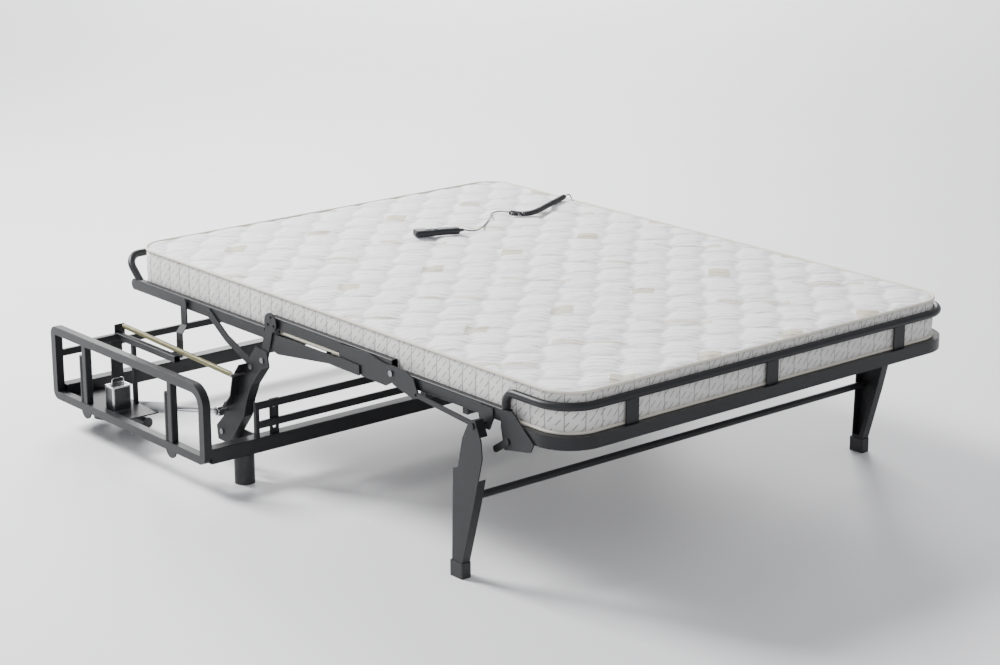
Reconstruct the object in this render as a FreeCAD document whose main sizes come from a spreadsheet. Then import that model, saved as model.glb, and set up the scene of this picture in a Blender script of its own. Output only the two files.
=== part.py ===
import FreeCAD, Part
import math
import os
import Sketcher

# Fold-out sofa bed mechanism with its one-piece mattress, opened out as a bed.
# Millimetres. X runs across the bed, Y towards the head end, Z up.
# The origin lies on the floor, under the middle of the open mechanism.

doc = FreeCAD.newDocument("sofa_bed")
sheet = doc.addObject("Spreadsheet::Sheet", "Sizes")

# ------------------------------------------------------------------ sizes
SIZES = [
    ("mattress_width", 1400, "width of the mattress"),
    ("mattress_head_y", 913, "head end of the mattress"),
    ("mattress_foot_y", -1024, "foot end of the mattress"),
    ("mattress_bottom", 438, "underside of the mattress"),
    ("mattress_thick", 118, "thickness of the mattress"),
    ("mattress_corner", 90, "corner radius of the mattress in plan"),
    ("head_fold_half", 60, "half length of the mattress fold at the head hinge"),
    ("foot_fold_half", 75, "half length of the mattress fold at the foot hinge"),
    ("soft_gap", 0.4, "gap between a soft solid and its neighbour"),
    ("rail_wide", 20, "width of a side rail"),
    ("rail_tall", 34, "height of a side rail"),
    ("rail_wall", 2, "wall of the square tubes"),
    ("rail_round", 3, "outer corner radius of the square tubes"),
    ("rail_inset", 4, "gap between mattress side and rail"),
    ("head_rail_top", 455, "top of the head rail"),
    ("mid_rail_top", 494, "top of the middle rail"),
    ("foot_rail_top", 471, "top of the foot rail"),
    ("head_rail_end", 890, "head end of the head rail"),
    ("foot_rail_end", -830, "foot end of the foot rail"),
    ("cross_tube_size", 20, "square cross tubes of the frames"),
    ("slat_wide", 50, "width of a slat"),
    ("slat_thick", 4, "thickness of a slat"),
    ("fold_y", 201, "where head frame and middle frame meet"),
    ("fold_room", 10, "room between the frames at a fold"),
    ("knob_y", 168, "pivot in the round head of the knob arm"),
    ("knob_z", 478, "height of that pivot"),
    ("knob_radius", 28, "radius of the round head"),
    ("elbow_y", 205, "pivot between drive arm and knob arm"),
    ("elbow_z", 362, "height of that pivot"),
    ("arm_y", 418, "pivot of the drive arm on the base"),
    ("arm_z", 100, "height of that pivot"),
    ("curve_low_y", 262, "pivot of the curved link on the drive arm"),
    ("curve_low_z", 330, "height of that pivot"),
    ("curve_top_y", 484, "pivot of the curved link on the head rail"),
    ("curve_top_z", 438, "height of that pivot"),
    ("rear_link_y", 609, "both pivots of the rear link"),
    ("rear_link_top", 438, "height of its upper pivot"),
    ("rear_link_low", 293.5, "height of its lower pivot"),
    ("rear_link_wide", 30, "width of the rear link"),
    ("foot_hinge_y", -379, "hinge between middle and foot frame"),
    ("foot_hinge_z", 462, "height of that hinge"),
    ("leg_pivot_y", -752, "pivot of the legs"),
    ("leg_pivot_z", 420, "height of that pivot"),
    ("leg_link_y", -739, "pivot of the leg link on the leg"),
    ("leg_link_z", 410, "height of that pivot"),
    ("leg_link_long", 247, "reach of the leg link along the bed"),
    ("leg_link_rise", 22, "rise of the leg link towards the foot hinge"),
    ("leg_link_pin", 4, "radius of the leg link's pin"),
    ("ear_y", 392, "pin of the actuator rod on the drive arm"),
    ("ear_z", 172, "height of that pin"),
    ("motor_pivot_y", 905, "rear pivot of the actuator"),
    ("motor_pivot_z", 62, "height of that pivot"),
    ("plate_thick", 4, "steel plate of the links"),
    ("plate_gap", 1, "gap between neighbouring plates"),
    ("pin_radius", 5, "radius of a pivot pin"),
    ("pin_clear", 0.05, "running clearance round a pivot pin"),
    ("rivet_radius", 8, "radius of a rivet head"),
    ("rivet_tall", 3, "height of a rivet head"),
    ("arm_channel", 30, "depth of the drive arm's flange"),
    ("base_half_width", 928, "half width over the side frames"),
    ("base_front_y", 221, "front face of the base"),
    ("base_rear_y", 1047, "rear face of the base"),
    ("beam_low", 87, "underside of the base beams"),
    ("beam_tall", 44, "height of the base beams"),
    ("beam_deep", 40, "depth of the base beams"),
    ("bar_tall", 21, "height of the thin bars"),
    ("bar_deep", 12, "depth of the thin bars"),
    ("bar_mid_low", 157, "underside of the middle apron bar"),
    ("bar_top_low", 213, "underside of the upper apron bar"),
    ("bar_half", 742, "half length of the apron bars"),
    ("apron_plate_x", 683, "apron plates from the middle"),
    ("apron_plate_wide", 30, "width of an apron plate"),
    ("foot_radius", 29, "radius of a floor foot"),
    ("foot_place_x", 778, "floor feet from the middle"),
    ("side_tube", 25, "square tube of the side frames"),
    ("side_top", 315, "top of the side frames"),
    ("side_bend", 62, "bend radius at the front upper corner"),
    ("side_bend_rear", 26, "bend radius at the other corners"),
    ("post_front_y", 398, "front upright of a side frame"),
    ("post_rear_y", 862, "rear upright of a side frame"),
    ("post_wide", 22, "width of an upright"),
    ("armrest_pin_radius", 11, "round post that holds the armrest"),
    ("armrest_pin_top", 255, "top of that post"),
    ("corner_rail_x", 792, "corner rail from the middle"),
    ("corner_rail_z", 293.5, "middle height of the corner rail"),
    ("corner_front_y", 560, "front end of the corner rail"),
    ("corner_rear_y", 884, "rear end of the corner rail"),
    ("loop_radius", 11, "radius of the tube of the end loops"),
    ("loop_bend", 75, "bend radius of the end loops"),
    ("foot_end_y", -1047, "outermost point of the foot end"),
    ("end_tube_tall", 34, "height of the tube across the foot end"),
    ("end_tube_wide", 20, "width of that tube"),
    ("end_tube_z", 425, "middle height of that tube"),
    ("foot_loop_z", 516, "centre height of the upper foot loop"),
    ("head_loop_z", 515, "centre height of the head loop"),
    ("head_loop_y", 945, "centre of the head loop behind the mattress"),
    ("strap_spacing", 495, "spacing of the straps at the foot end"),
    ("strap_wide", 42, "width of a strap"),
    ("leg_place_x", 756, "legs from the middle"),
    ("leg_wide", 26, "thickness of a leg across the bed"),
    ("leg_foot_y", -687, "centre of a shoe"),
    ("shoe_tall", 42, "height of a shoe"),
    ("shoe_long", 50, "length of a shoe"),
    ("shoe_wide", 31, "width of a shoe"),
    ("leg_bar_y", -690, "bar between the legs"),
    ("leg_bar_z", 205, "height of the bar between the legs"),
    ("leg_bar_radius", 10, "radius of that bar"),
    ("actuator_x", 764, "actuators from the middle"),
    ("actuator_radius", 16, "outer tube of the actuator"),
    ("actuator_front_y", 640, "front end of the outer tube"),
    ("rod_radius", 8, "radius of the actuator rod"),
    ("spring_x", 776, "long springs from the middle"),
    ("spring_radius", 8, "outer radius of the long springs"),
    ("spring_y", 298, "front hook of the long spring"),
    ("spring_z", 305, "height of that hook"),
    ("spring_rear_y", 884, "rear hook of the long spring"),
    ("spring_rear_z", 322, "height of that hook"),
    ("box_wide", 62, "width of the control box"),
    ("box_deep", 46, "depth of the control box"),
    ("box_tall", 78, "height of the control box"),
    ("handset_long", 140, "length of the handset"),
    ("handset_wide", 46, "width of the handset"),
    ("handset_tall", 22, "height of the handset"),
    ("handset_x", 52, "middle of the handset across the bed"),
    ("handset_y", 409, "middle of the handset along the bed"),
    ("handset_turn", -23.7, "turn of the handset in plan, in degrees"),
    ("key_travel", 1.2, "travel of a handset key"),
    ("cord_radius", 2, "radius of the straight handset cord"),
    ("curly_radius", 9, "outer radius of the curly cord"),
]


class Length:
    """A length with its value in millimetres and the sheet expression that gives it."""

    def __init__(self, text, value):
        self.text, self.value = text, value

    def __add__(self, other):
        other = length(other)
        return Length("(%s + %s)" % (self.text, other.text), self.value + other.value)

    def __sub__(self, other):
        other = length(other)
        return Length("(%s - %s)" % (self.text, other.text), self.value - other.value)

    def __mul__(self, other):
        other = length(other)
        return Length("%s * %s" % (self.text, other.text), self.value * other.value)

    def __truediv__(self, other):
        other = length(other)
        return Length("%s / %s" % (self.text, other.text), self.value / other.value)

    def __neg__(self):
        return Length("(0 - %s)" % self.text, -self.value)

    def __float__(self):
        return float(self.value)

    __radd__ = __add__
    __rmul__ = __mul__

    def __rsub__(self, other):
        return length(other) - self


def length(number):
    """A plain number as a Length; a Length stays as it is."""
    return number if isinstance(number, Length) else Length(repr(number), number)


class Sizes:
    """Every alias of the sheet, as an attribute."""


S = Sizes()
for row, (alias, value, meaning) in enumerate(SIZES, start=1):
    sheet.set("A%d" % row, meaning)
    sheet.set("B%d" % row, str(value))
    sheet.setAlias("B%d" % row, alias)
    setattr(S, alias, Length("Sizes." + alias, value))
doc.recompute()

# places that several pieces share
rail_in = S.mattress_width / 2 + S.rail_inset
rail_out = rail_in + S.rail_wide
layer_1 = rail_out + S.plate_gap
layer_2 = layer_1 + S.plate_thick + S.plate_gap
layer_3 = layer_2 + S.plate_thick + S.plate_gap
beam_top = S.beam_low + S.beam_tall
head_rail_low = S.head_rail_top - S.rail_tall
mid_rail_low = S.mid_rail_top - S.rail_tall
foot_rail_low = S.foot_rail_top - S.rail_tall
slat_low = S.mattress_bottom - S.soft_gap - S.slat_thick
cross_low = slat_low - S.cross_tube_size
side_out = S.base_half_width
side_in = S.base_half_width - S.side_tube
leg_in = S.leg_place_x - S.leg_wide / 2
leg_out = S.leg_place_x + S.leg_wide / 2
leg_link_x = leg_in - S.plate_thick - S.plate_gap
mattress_top = S.mattress_bottom + S.mattress_thick
arm_hole = S.pin_radius + S.pin_clear
running = S.plate_gap / 2
link_out = layer_3 + S.plate_thick + 9


# ------------------------------------------------------------------ makers
def bind(piece, settings):
    """Bind properties of a piece to sheet expressions."""
    for name, size in settings.items():
        piece.setExpression(name, length(size).text)


def place(piece, x, y, z, rotation=None):
    """Give a piece its turn, and bind its place to the sheet."""
    if rotation:
        piece.Placement = FreeCAD.Placement(FreeCAD.Vector(), rotation)
    bind(piece, {"Placement.Base.x": x, "Placement.Base.y": y, "Placement.Base.z": z})
    return piece


def block(name, size, corner):
    """A box with three sizes and its lowest corner."""
    piece = doc.addObject("Part::Box", name)
    bind(piece, dict(zip(("Length", "Width", "Height"), size)))
    return place(piece, *corner)


def rod(name, run, radius, long, start):
    """A round bar along axis number run, from its start point."""
    piece = doc.addObject("Part::Cylinder", name)
    bind(piece, {"Radius": radius, "Height": long})
    turns = (FreeCAD.Rotation(FreeCAD.Vector(0, 1, 0), 90),
             FreeCAD.Rotation(FreeCAD.Vector(1, 0, 0), -90), None)
    return place(piece, *start, rotation=turns[run])


def cut(name, base, tool):
    """One piece less another."""
    piece = doc.addObject("Part::Cut", name)
    piece.Base, piece.Tool = base, tool
    return piece


def fuse(name, pieces):
    """Several overlapping pieces made one."""
    piece = doc.addObject("Part::MultiFuse", name)
    piece.Shapes = pieces
    return piece


def rounded(name, base, run, radius):
    """A piece with its edges along axis number run rounded."""
    doc.recompute()
    edges = [number for number, edge in enumerate(base.Shape.Edges, start=1)
             if isinstance(edge.Curve, Part.Line)
             and abs(tuple(edge.tangentAt(edge.FirstParameter))[run]) > 0.9]
    piece = doc.addObject("Part::Fillet", name)
    piece.Base = base
    piece.Edges = [(number, float(radius), float(radius)) for number in edges]
    return piece


def square_tube(name, run, size, corner):
    """A rectangular tube along axis number run, with rounded edges and open ends."""
    outer = rounded(name + "_skin", block(name + "_bar", size, corner), run, S.rail_round)
    inner_size = [part if axis == run else part - 2 * S.rail_wall
                  for axis, part in enumerate(map(length, size))]
    inner_corner = [part if axis == run else part + S.rail_wall
                    for axis, part in enumerate(map(length, corner))]
    return cut(name, outer, block(name + "_bore", inner_size, inner_corner))


def mirrored(name, source):
    """The same piece on the other side of the bed."""
    piece = doc.addObject("Part::Mirroring", name)
    piece.Source = source
    piece.Normal = FreeCAD.Vector(1, 0, 0)
    return piece


def group(name, pieces):
    """Separate solids that share one node."""
    piece = doc.addObject("Part::Compound", name)
    piece.Links = pieces
    return piece


def both_sides(name, pieces):
    """Pieces of the right side and their mirror images, as one node."""
    return group(name, pieces + [mirrored("%s_mirror_%d" % (name, index), piece)
                                 for index, piece in enumerate(pieces)])


def pin_down(sketch, geometry, point, y, z):
    """Hold one point of a sketch at two sheet expressions."""
    for kind, size in (("DistanceX", length(y)), ("DistanceY", length(z))):
        index = sketch.addConstraint(Sketcher.Constraint(kind, -1, 1, geometry, point, size.value))
        sketch.setExpression("Constraints[%d]" % index, size.text)


def side_sketch(name):
    """A body with an empty sketch in the side view, where its axes are Y and Z."""
    body = doc.addObject("PartDesign::Body", name)
    sketch = body.newObject("Sketcher::SketchObject", name + "_sketch")
    sketch.AttachmentSupport = [plane for plane in body.Origin.OriginFeatures
                                if plane.Role == "YZ_Plane"]
    sketch.MapMode = "FlatFace"
    return body, sketch


def circle_in(sketch, y, z, radius):
    """A circle of the sketch, held by its centre and its radius."""
    y, z, radius = length(y), length(z), length(radius)
    centre = FreeCAD.Vector(y.value, z.value, 0)
    ring = sketch.addGeometry(Part.Circle(centre, FreeCAD.Vector(0, 0, 1), radius.value))
    pin_down(sketch, ring, 3, y, z)
    index = sketch.addConstraint(Sketcher.Constraint("Radius", ring, radius.value))
    sketch.setExpression("Constraints[%d]" % index, radius.text)


def padded(body, sketch, thick, x):
    """The sketch pushed along X, with the body standing at x."""
    pad = body.newObject("PartDesign::Pad", sketch.Name + "_pad")
    pad.Profile = sketch
    bind(pad, {"Length": thick})
    place(body, x, 0, 0)
    return pad


def plate(name, outline, x, thick, holes=(), rounding=0):
    """A flat plate in the side view, from its corners (y, z), with round holes."""
    body, sketch = side_sketch(name)
    corners = [(length(y), length(z)) for y, z in outline]
    for index, (y, z) in enumerate(corners):
        next_y, next_z = corners[(index + 1) % len(corners)]
        sketch.addGeometry(Part.LineSegment(FreeCAD.Vector(y.value, z.value, 0),
                                            FreeCAD.Vector(next_y.value, next_z.value, 0)))
    for index in range(len(corners)):
        after = (index + 1) % len(corners)
        sketch.addConstraint(Sketcher.Constraint("Coincident", index, 2, after, 1))
    for index, (y, z) in enumerate(corners):
        pin_down(sketch, index, 1, y, z)
    for y, z, radius in holes:
        circle_in(sketch, y, z, radius)
    pad = padded(body, sketch, thick, x)
    doc.recompute()
    if rounding:
        soft = body.newObject("PartDesign::Fillet", name + "_rounding")
        soft.Base = (pad, ["Edge%d" % number for number, edge in enumerate(pad.Shape.Edges, 1)
                           if isinstance(edge.Curve, Part.Line)
                           and abs(edge.tangentAt(edge.FirstParameter).x) > 0.9])
        soft.Radius = rounding
        body.Tip = soft
    return body


def strap(name, first, second, half, x, thick, hole=None):
    """A flat link with round ends between two pivots (y, z)."""
    body, sketch = side_sketch(name)
    (y1, z1), (y2, z2) = [tuple(map(length, pivot)) for pivot in (first, second)]
    half = length(half)
    turn = math.atan2(z2.value - z1.value, y2.value - y1.value)
    across = FreeCAD.Vector(-math.sin(turn), math.cos(turn), 0) * half.value
    start = FreeCAD.Vector(y1.value, z1.value, 0)
    end = FreeCAD.Vector(y2.value, z2.value, 0)
    up = FreeCAD.Vector(0, 0, 1)
    sketch.addGeometry(Part.LineSegment(start - across, end - across))
    sketch.addGeometry(Part.ArcOfCircle(Part.Circle(end, up, half.value),
                                        turn - math.pi / 2, turn + math.pi / 2))
    sketch.addGeometry(Part.LineSegment(end + across, start + across))
    sketch.addGeometry(Part.ArcOfCircle(Part.Circle(start, up, half.value),
                                        turn + math.pi / 2, turn + 3 * math.pi / 2))
    for first_edge, second_edge in ((0, 1), (1, 2), (2, 3), (3, 0)):
        sketch.addConstraint(Sketcher.Constraint("Tangent", first_edge, 2, second_edge, 1))
    pin_down(sketch, 1, 3, y2, z2)
    pin_down(sketch, 3, 3, y1, z1)
    index = sketch.addConstraint(Sketcher.Constraint("Radius", 1, half.value))
    sketch.setExpression("Constraints[%d]" % index, half.text)
    if hole:
        circle_in(sketch, y1, z1, hole)
        circle_in(sketch, y2, z2, hole)
    padded(body, sketch, thick, x)
    return body


def bent_path(points, radii):
    """A wire of straight runs joined by tangent arcs of the given radii."""
    points = [FreeCAD.Vector(*map(float, point)) for point in points]
    edges, start = [], points[0]
    for before, corner, after, radius in zip(points, points[1:], points[2:], radii):
        into = (before - corner).normalize()
        out = (after - corner).normalize()
        half = into.getAngle(out) / 2
        setback = radius / math.tan(half)
        middle = corner + (into + out).normalize() * (radius / math.sin(half) - radius)
        edges.append(Part.LineSegment(start, corner + into * setback).toShape())
        edges.append(Part.Arc(corner + into * setback, middle, corner + out * setback).toShape())
        start = corner + out * setback
    edges.append(Part.LineSegment(start, points[-1]).toShape())
    return Part.Wire(edges)


def swept(path, section):
    """A section wire carried along a path, closed at both ends."""
    return path.makePipeShell([section], True, True)


def ring_section(centre, direction, radius):
    """A round section square to the start of a path."""
    return Part.Wire(Part.makeCircle(float(radius), centre, direction))


def bent_tube(name, points, radius, bends, wall=None):
    """A bent round tube, or a bent round bar where no wall is given."""
    path = bent_path(points, bends)
    start = path.Edges[0].valueAt(path.Edges[0].FirstParameter)
    direction = path.Edges[0].tangentAt(path.Edges[0].FirstParameter)
    shape = swept(path, ring_section(start, direction, radius))
    if wall:
        shape = shape.cut(swept(path, ring_section(start, direction, float(radius) - float(wall))))
    return feature(name, shape)


def feature(name, shape):
    """A free shape as an object of the document."""
    piece = doc.addObject("Part::Feature", name)
    piece.Shape = shape
    return piece


# ------------------------------------------------------------------ base
beam_long = 2 * side_in
group("base_beams", [
    square_tube(name, 0, (beam_long, S.beam_deep, S.beam_tall), (-side_in, front, S.beam_low))
    for name, front in (("front_beam", S.base_front_y),
                        ("rear_beam", S.base_rear_y - S.beam_deep))])
square_tube("base_rear_bar", 0, (beam_long, S.bar_deep, S.bar_tall),
            (-side_in, S.base_rear_y - S.bar_deep, S.bar_top_low))

apron_top = S.bar_top_low + S.bar_tall
apron_pieces = [
    square_tube("apron_bar_%s" % level, 0, (2 * S.bar_half, S.bar_deep, S.bar_tall),
                (-S.bar_half, S.base_front_y, low))
    for level, low in (("mid", S.bar_mid_low), ("top", S.bar_top_low))]
post_wide = S.bar_deep
for side, name in ((1, "right"), (-1, "left")):
    post_x = S.bar_half if side > 0 else -S.bar_half - post_wide
    apron_pieces.append(block("apron_post_" + name, (post_wide, S.bar_deep, apron_top - beam_top),
                              (post_x, S.base_front_y, beam_top)))


def holed_plate(name, x, y, wide, thick, low, high, radius):
    """An upright plate across the bed with two round holes, one near each end."""
    body = block(name + "_blank", (wide, thick, high - low), (x, y, low))
    tools = [rod("%s_hole_%d" % (name, index), 1, radius, thick * 3,
                 (x + wide / 2, y - thick, low + (high - low) * share))
             for index, share in enumerate((0.2, 0.8))]
    return cut(name, body, group(name + "_holes", tools))


apron_plate_x = S.apron_plate_x - S.apron_plate_wide / 2
apron_plate = holed_plate("apron_plate", apron_plate_x, S.base_front_y + S.bar_deep,
                          S.apron_plate_wide, S.plate_thick, beam_top, apron_top, 6)
group("apron_bars", apron_pieces + [apron_plate, mirrored("apron_plate_mirror", apron_plate)])

foot_places = (S.base_front_y + S.foot_radius, S.base_rear_y - S.foot_radius)
both_sides("base_feet", [
    rod("base_foot_%d" % index, 2, S.foot_radius, S.beam_low, (S.foot_place_x, y, 0))
    for index, y in enumerate(foot_places)])


def side_ring(inset, depth, x):
    """The closed ring of a side frame, drawn inset from its outline, depth thick along X."""
    inset = float(inset)
    wires = []
    for grow in (inset, float(S.side_tube) - inset):
        front, rear = float(S.base_front_y) + grow, float(S.base_rear_y) - grow
        low, high = float(S.beam_low) + grow, float(S.side_top) - grow
        small = max(float(S.side_bend_rear) - grow, 1)
        large = max(float(S.side_bend) - grow, 1)
        corners = ((front, low, small), (rear, low, small), (rear, high, small),
                   (front, high, large))
        wires.append(rounded_outline(corners, float(x)))
    face = Part.Face(wires[0]).cut(Part.Face(wires[1]))
    return face.extrude(FreeCAD.Vector(float(depth), 0, 0))


def rounded_outline(corners, x):
    """A closed outline in the side view, each corner (y, z) with its own radius."""
    count = len(corners)
    edges = []
    joints = []
    for index, (y, z, radius) in enumerate(corners):
        corner = FreeCAD.Vector(x, y, z)
        before = FreeCAD.Vector(x, *corners[index - 1][:2])
        after = FreeCAD.Vector(x, *corners[(index + 1) % count][:2])
        into, out = (before - corner).normalize(), (after - corner).normalize()
        half = into.getAngle(out) / 2
        setback = radius / math.tan(half)
        middle = corner + (into + out).normalize() * (radius / math.sin(half) - radius)
        joints.append((corner + into * setback, middle, corner + out * setback))
    for index, (start, middle, end) in enumerate(joints):
        edges.append(Part.Arc(start, middle, end).toShape())
        edges.append(Part.LineSegment(end, joints[(index + 1) % count][0]).toShape())
    return Part.Wire(edges)


side_shape = side_ring(0, S.side_tube, side_in).cut(
    side_ring(S.rail_wall, S.side_tube - 2 * S.rail_wall, side_in + S.rail_wall))
both_sides("side_frames", [feature("side_frame", side_shape)])

post_low, post_high = S.beam_low + S.side_tube, S.side_top - S.side_tube
upright_x = side_in + (S.side_tube - S.post_wide) / 2
post_places = (S.post_front_y, S.post_rear_y)
uprights = [
    square_tube("side_upright_%d" % index, 2, (S.post_wide, S.post_wide, post_high - post_low),
                (upright_x, y - S.post_wide / 2, post_low))
    for index, y in enumerate(post_places)]


def armrest_post(name, y):
    """The short round post beside an upright, where an armrest is held."""
    return rod(name, 2, S.armrest_pin_radius, S.armrest_pin_top - post_low,
               (side_in + S.side_tube / 2, y, post_low))


armrest_shift = S.post_wide / 2 + S.armrest_pin_radius
both_sides("armrest_posts", [armrest_post("armrest_post_%d" % index, y + armrest_shift)
                             for index, y in enumerate(post_places)])


def lug(name, y):
    """A half-round lug under the lower tube of a side frame."""
    disc = rod(name + "_disc", 0, 26, S.plate_thick, (side_in + S.side_tube / 2, y, S.beam_low))
    return cut(name, disc, block(name + "_top", (S.side_tube, 60, 30),
                                 (side_in, y - 30, S.beam_low)))


both_sides("side_uprights", uprights + [lug("side_lug_%d" % index, y + armrest_shift / 2)
                                        for index, y in enumerate(post_places)])

# the corner rails stand on a tray and carry the rear links and the long springs
corner_in = S.corner_rail_x - S.cross_tube_size / 2
corner_out = S.corner_rail_x + S.cross_tube_size / 2
corner_low = S.corner_rail_z - S.cross_tube_size / 2
corner_high = corner_low + S.cross_tube_size
tray_low = S.beam_low + 8
both_sides("corner_rails", [
    square_tube("corner_rail", 1, (S.cross_tube_size, S.corner_rear_y - S.corner_front_y,
                                   S.cross_tube_size), (corner_in, S.corner_front_y, corner_low)),
    square_tube("corner_stub", 0, (side_in - corner_out, S.cross_tube_size, S.cross_tube_size),
                (corner_out, S.corner_rear_y - S.cross_tube_size, corner_low)),
])
tray_top = tray_low + S.plate_thick
tray_front = 690
both_sides("corner_stands", [
    holed_plate("corner_plate", corner_in, S.corner_rear_y - S.plate_thick, 40, S.plate_thick,
                tray_top, corner_low, 7),
    block("corner_post", (S.bar_deep, S.bar_deep, corner_low - tray_top),
          (corner_in, 800, tray_top)),
    block("corner_tray", (side_in - corner_in, S.base_rear_y - S.beam_deep - tray_front,
                          S.plate_thick), (corner_in, tray_front, tray_low)),
    block("spring_bracket", (corner_out - S.spring_x + S.spring_radius, S.plate_thick, 40),
          (S.spring_x - S.spring_radius, S.corner_rear_y, corner_low + 4))])

# pivots of the arms and the rear links on the base
both_sides("arm_brackets", [
    plate("arm_bracket", [
        (S.base_front_y + S.beam_deep, S.beam_low), (S.arm_y - 60, S.arm_z - 24),
        (S.arm_y + 24, S.arm_z - 20), (S.arm_y + 24, S.arm_z + 16),
        (S.arm_y - 40, beam_top), (S.base_front_y + S.beam_deep, beam_top)],
        layer_2, S.plate_thick, rounding=3)])
both_sides("base_pivots", [
    rod("arm_pivot", 0, S.pin_radius, layer_3 + running - layer_2,
        (layer_2 + S.plate_thick, S.arm_y, S.arm_z)),
    rod("arm_pivot_head", 0, S.rivet_radius, S.rivet_tall,
        (layer_3 + S.plate_thick + running, S.arm_y, S.arm_z)),
    fuse("rear_link_stub", [
        rod("rear_link_pin", 0, S.pin_radius, corner_in - link_out + running,
            (link_out - running, S.rear_link_y, S.rear_link_low)),
        rod("rear_link_collar", 0, S.rivet_radius, corner_in - link_out - S.plate_thick - running,
            (link_out + S.plate_thick + running, S.rear_link_y, S.rear_link_low))])])

# ------------------------------------------------------------------ drive arms
arm_in, arm_out = layer_3, layer_3 + S.arm_channel
arm_front = [(S.arm_y - 78, S.arm_z - 8), (S.arm_y - 154, S.arm_z + 88),
             (S.arm_y - 170, S.arm_z + 140), (S.arm_y - 196, S.arm_z + 192),
             (S.elbow_y - 32, S.elbow_z - 14)]
arm_rear = [(S.elbow_y + 80, S.elbow_z - 26), (S.spring_y + 22, S.spring_z - 14),
            (S.arm_y - 84, S.arm_z + 132), (S.arm_y - 50, S.arm_z + 94)]
arm_outline = arm_front + [
    (S.elbow_y - 24, S.elbow_z + 28), (S.elbow_y + 30, S.elbow_z + 34)] + arm_rear + [
    (S.ear_y + 8, S.ear_z + 22), (S.ear_y + 22, S.ear_z + 4), (S.ear_y + 14, S.ear_z - 20),
    (S.arm_y + 28, S.arm_z + 12), (S.arm_y + 22, S.arm_z - 28), (S.arm_y - 34, S.arm_z - 30)]


def flange(name, edge, shift):
    """A flange folded out of the arm's web along one of its edges."""
    folded = [(y + shift, z) for y, z in reversed(edge)]
    return plate(name, edge + folded, arm_in + S.plate_thick - 1, S.arm_channel - S.plate_thick + 1)


arm_web = plate("drive_arm_web", arm_outline, arm_in, S.plate_thick,
                holes=[(S.arm_y, S.arm_z, arm_hole)])
flange_inset = S.plate_thick * 1.1
both_sides("drive_arms", [fuse("drive_arm", [arm_web,
                                             flange("drive_arm_front", arm_front, flange_inset),
                                             flange("drive_arm_rear", arm_rear, -flange_inset)])])
web_out = arm_in + S.plate_thick
both_sides("drive_arm_pins", [
    rod("ear_pin", 0, S.pin_radius, S.actuator_x + S.rod_radius - web_out + 4,
        (web_out, S.ear_y, S.ear_z)),
    rod("spring_pin", 0, S.pin_radius - 1, S.spring_x + S.spring_radius + 4 - web_out,
        (web_out, S.spring_y - 6, S.spring_z)),
    rod("elbow_pin", 0, S.pin_radius, layer_3 - layer_2 + running,
        (layer_2 - running, S.elbow_y, S.elbow_z)),
    rod("curve_pin", 0, S.pin_radius, layer_3 - layer_1 + running,
        (layer_1 - running, S.curve_low_y, S.curve_low_z)),
    rod("elbow_rivet", 0, S.rivet_radius, S.rivet_tall, (web_out, S.elbow_y, S.elbow_z)),
    rod("curve_rivet", 0, S.rivet_radius, S.rivet_tall, (web_out, S.curve_low_y, S.curve_low_z)),
])

# the knob arm: a strap with a round head that carries three rivets
knob_strap = strap("knob_strap", (S.elbow_y, S.elbow_z), (S.knob_y, S.knob_z), 17,
                   layer_2, S.plate_thick, hole=arm_hole)
knob_head = rod("knob_head", 0, S.knob_radius, S.plate_thick, (layer_2, S.knob_y, S.knob_z))
rivet_ring = S.knob_radius * 0.55
both_sides("knob_arms", [fuse("knob_arm", [knob_strap, knob_head])] + [
    rod("knob_rivet_%d" % index, 0, S.rivet_radius / 2, S.rivet_tall,
        (layer_2 + S.plate_thick, S.knob_y + rivet_ring * across, S.knob_z + rivet_ring * up))
    for index, (across, up) in enumerate(((0, 1), (0.87, -0.5), (-0.87, -0.5)))])

# the curved link between the drive arm and the head rail
curve_mid_y = S.curve_low_y * 0.4 + S.curve_top_y * 0.6
curve_mid_z = S.curve_low_z * 0.5 + S.curve_top_z * 0.5 - 2
curved = fuse("curved_link_solid", [
    strap("curved_link_low", (S.curve_low_y, S.curve_low_z), (curve_mid_y, curve_mid_z), 12,
          layer_1, S.plate_thick),
    strap("curved_link_top", (curve_mid_y, curve_mid_z), (S.curve_top_y, S.curve_top_z), 12,
          layer_1, S.plate_thick)])
curved_holes = [rod("curved_link_hole_%d" % index, 0, arm_hole, S.plate_thick * 3,
                    (rail_out - S.plate_thick, y, z))
                for index, (y, z) in enumerate(((S.curve_low_y, S.curve_low_z),
                                                (S.curve_top_y, S.curve_top_z)))]
both_sides("curved_links", [cut("curved_link", curved, group("curved_link_holes", curved_holes))])

# the rear link: a strap with a set in it, so that its lower end clears the frame
link_half = S.rear_link_wide / 2
set_low = S.rear_link_low + (S.rear_link_top - S.rear_link_low) * 0.42
set_high = set_low + 22
rear_upper = fuse("rear_link_upper", [
    block("rear_link_plate", (S.plate_thick, S.rear_link_wide, S.rear_link_top - set_high),
          (layer_2, S.rear_link_y - link_half, set_high)),
    rod("rear_link_end", 0, link_half, S.plate_thick, (layer_2, S.rear_link_y, S.rear_link_top))])
rear_lower = fuse("rear_link_lower", [
    block("rear_link_foot", (S.plate_thick, S.rear_link_wide, set_low - S.rear_link_low),
          (link_out, S.rear_link_y - link_half, S.rear_link_low)),
    rod("rear_link_boss", 0, link_half, S.plate_thick, (link_out, S.rear_link_y, S.rear_link_low))])


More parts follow.
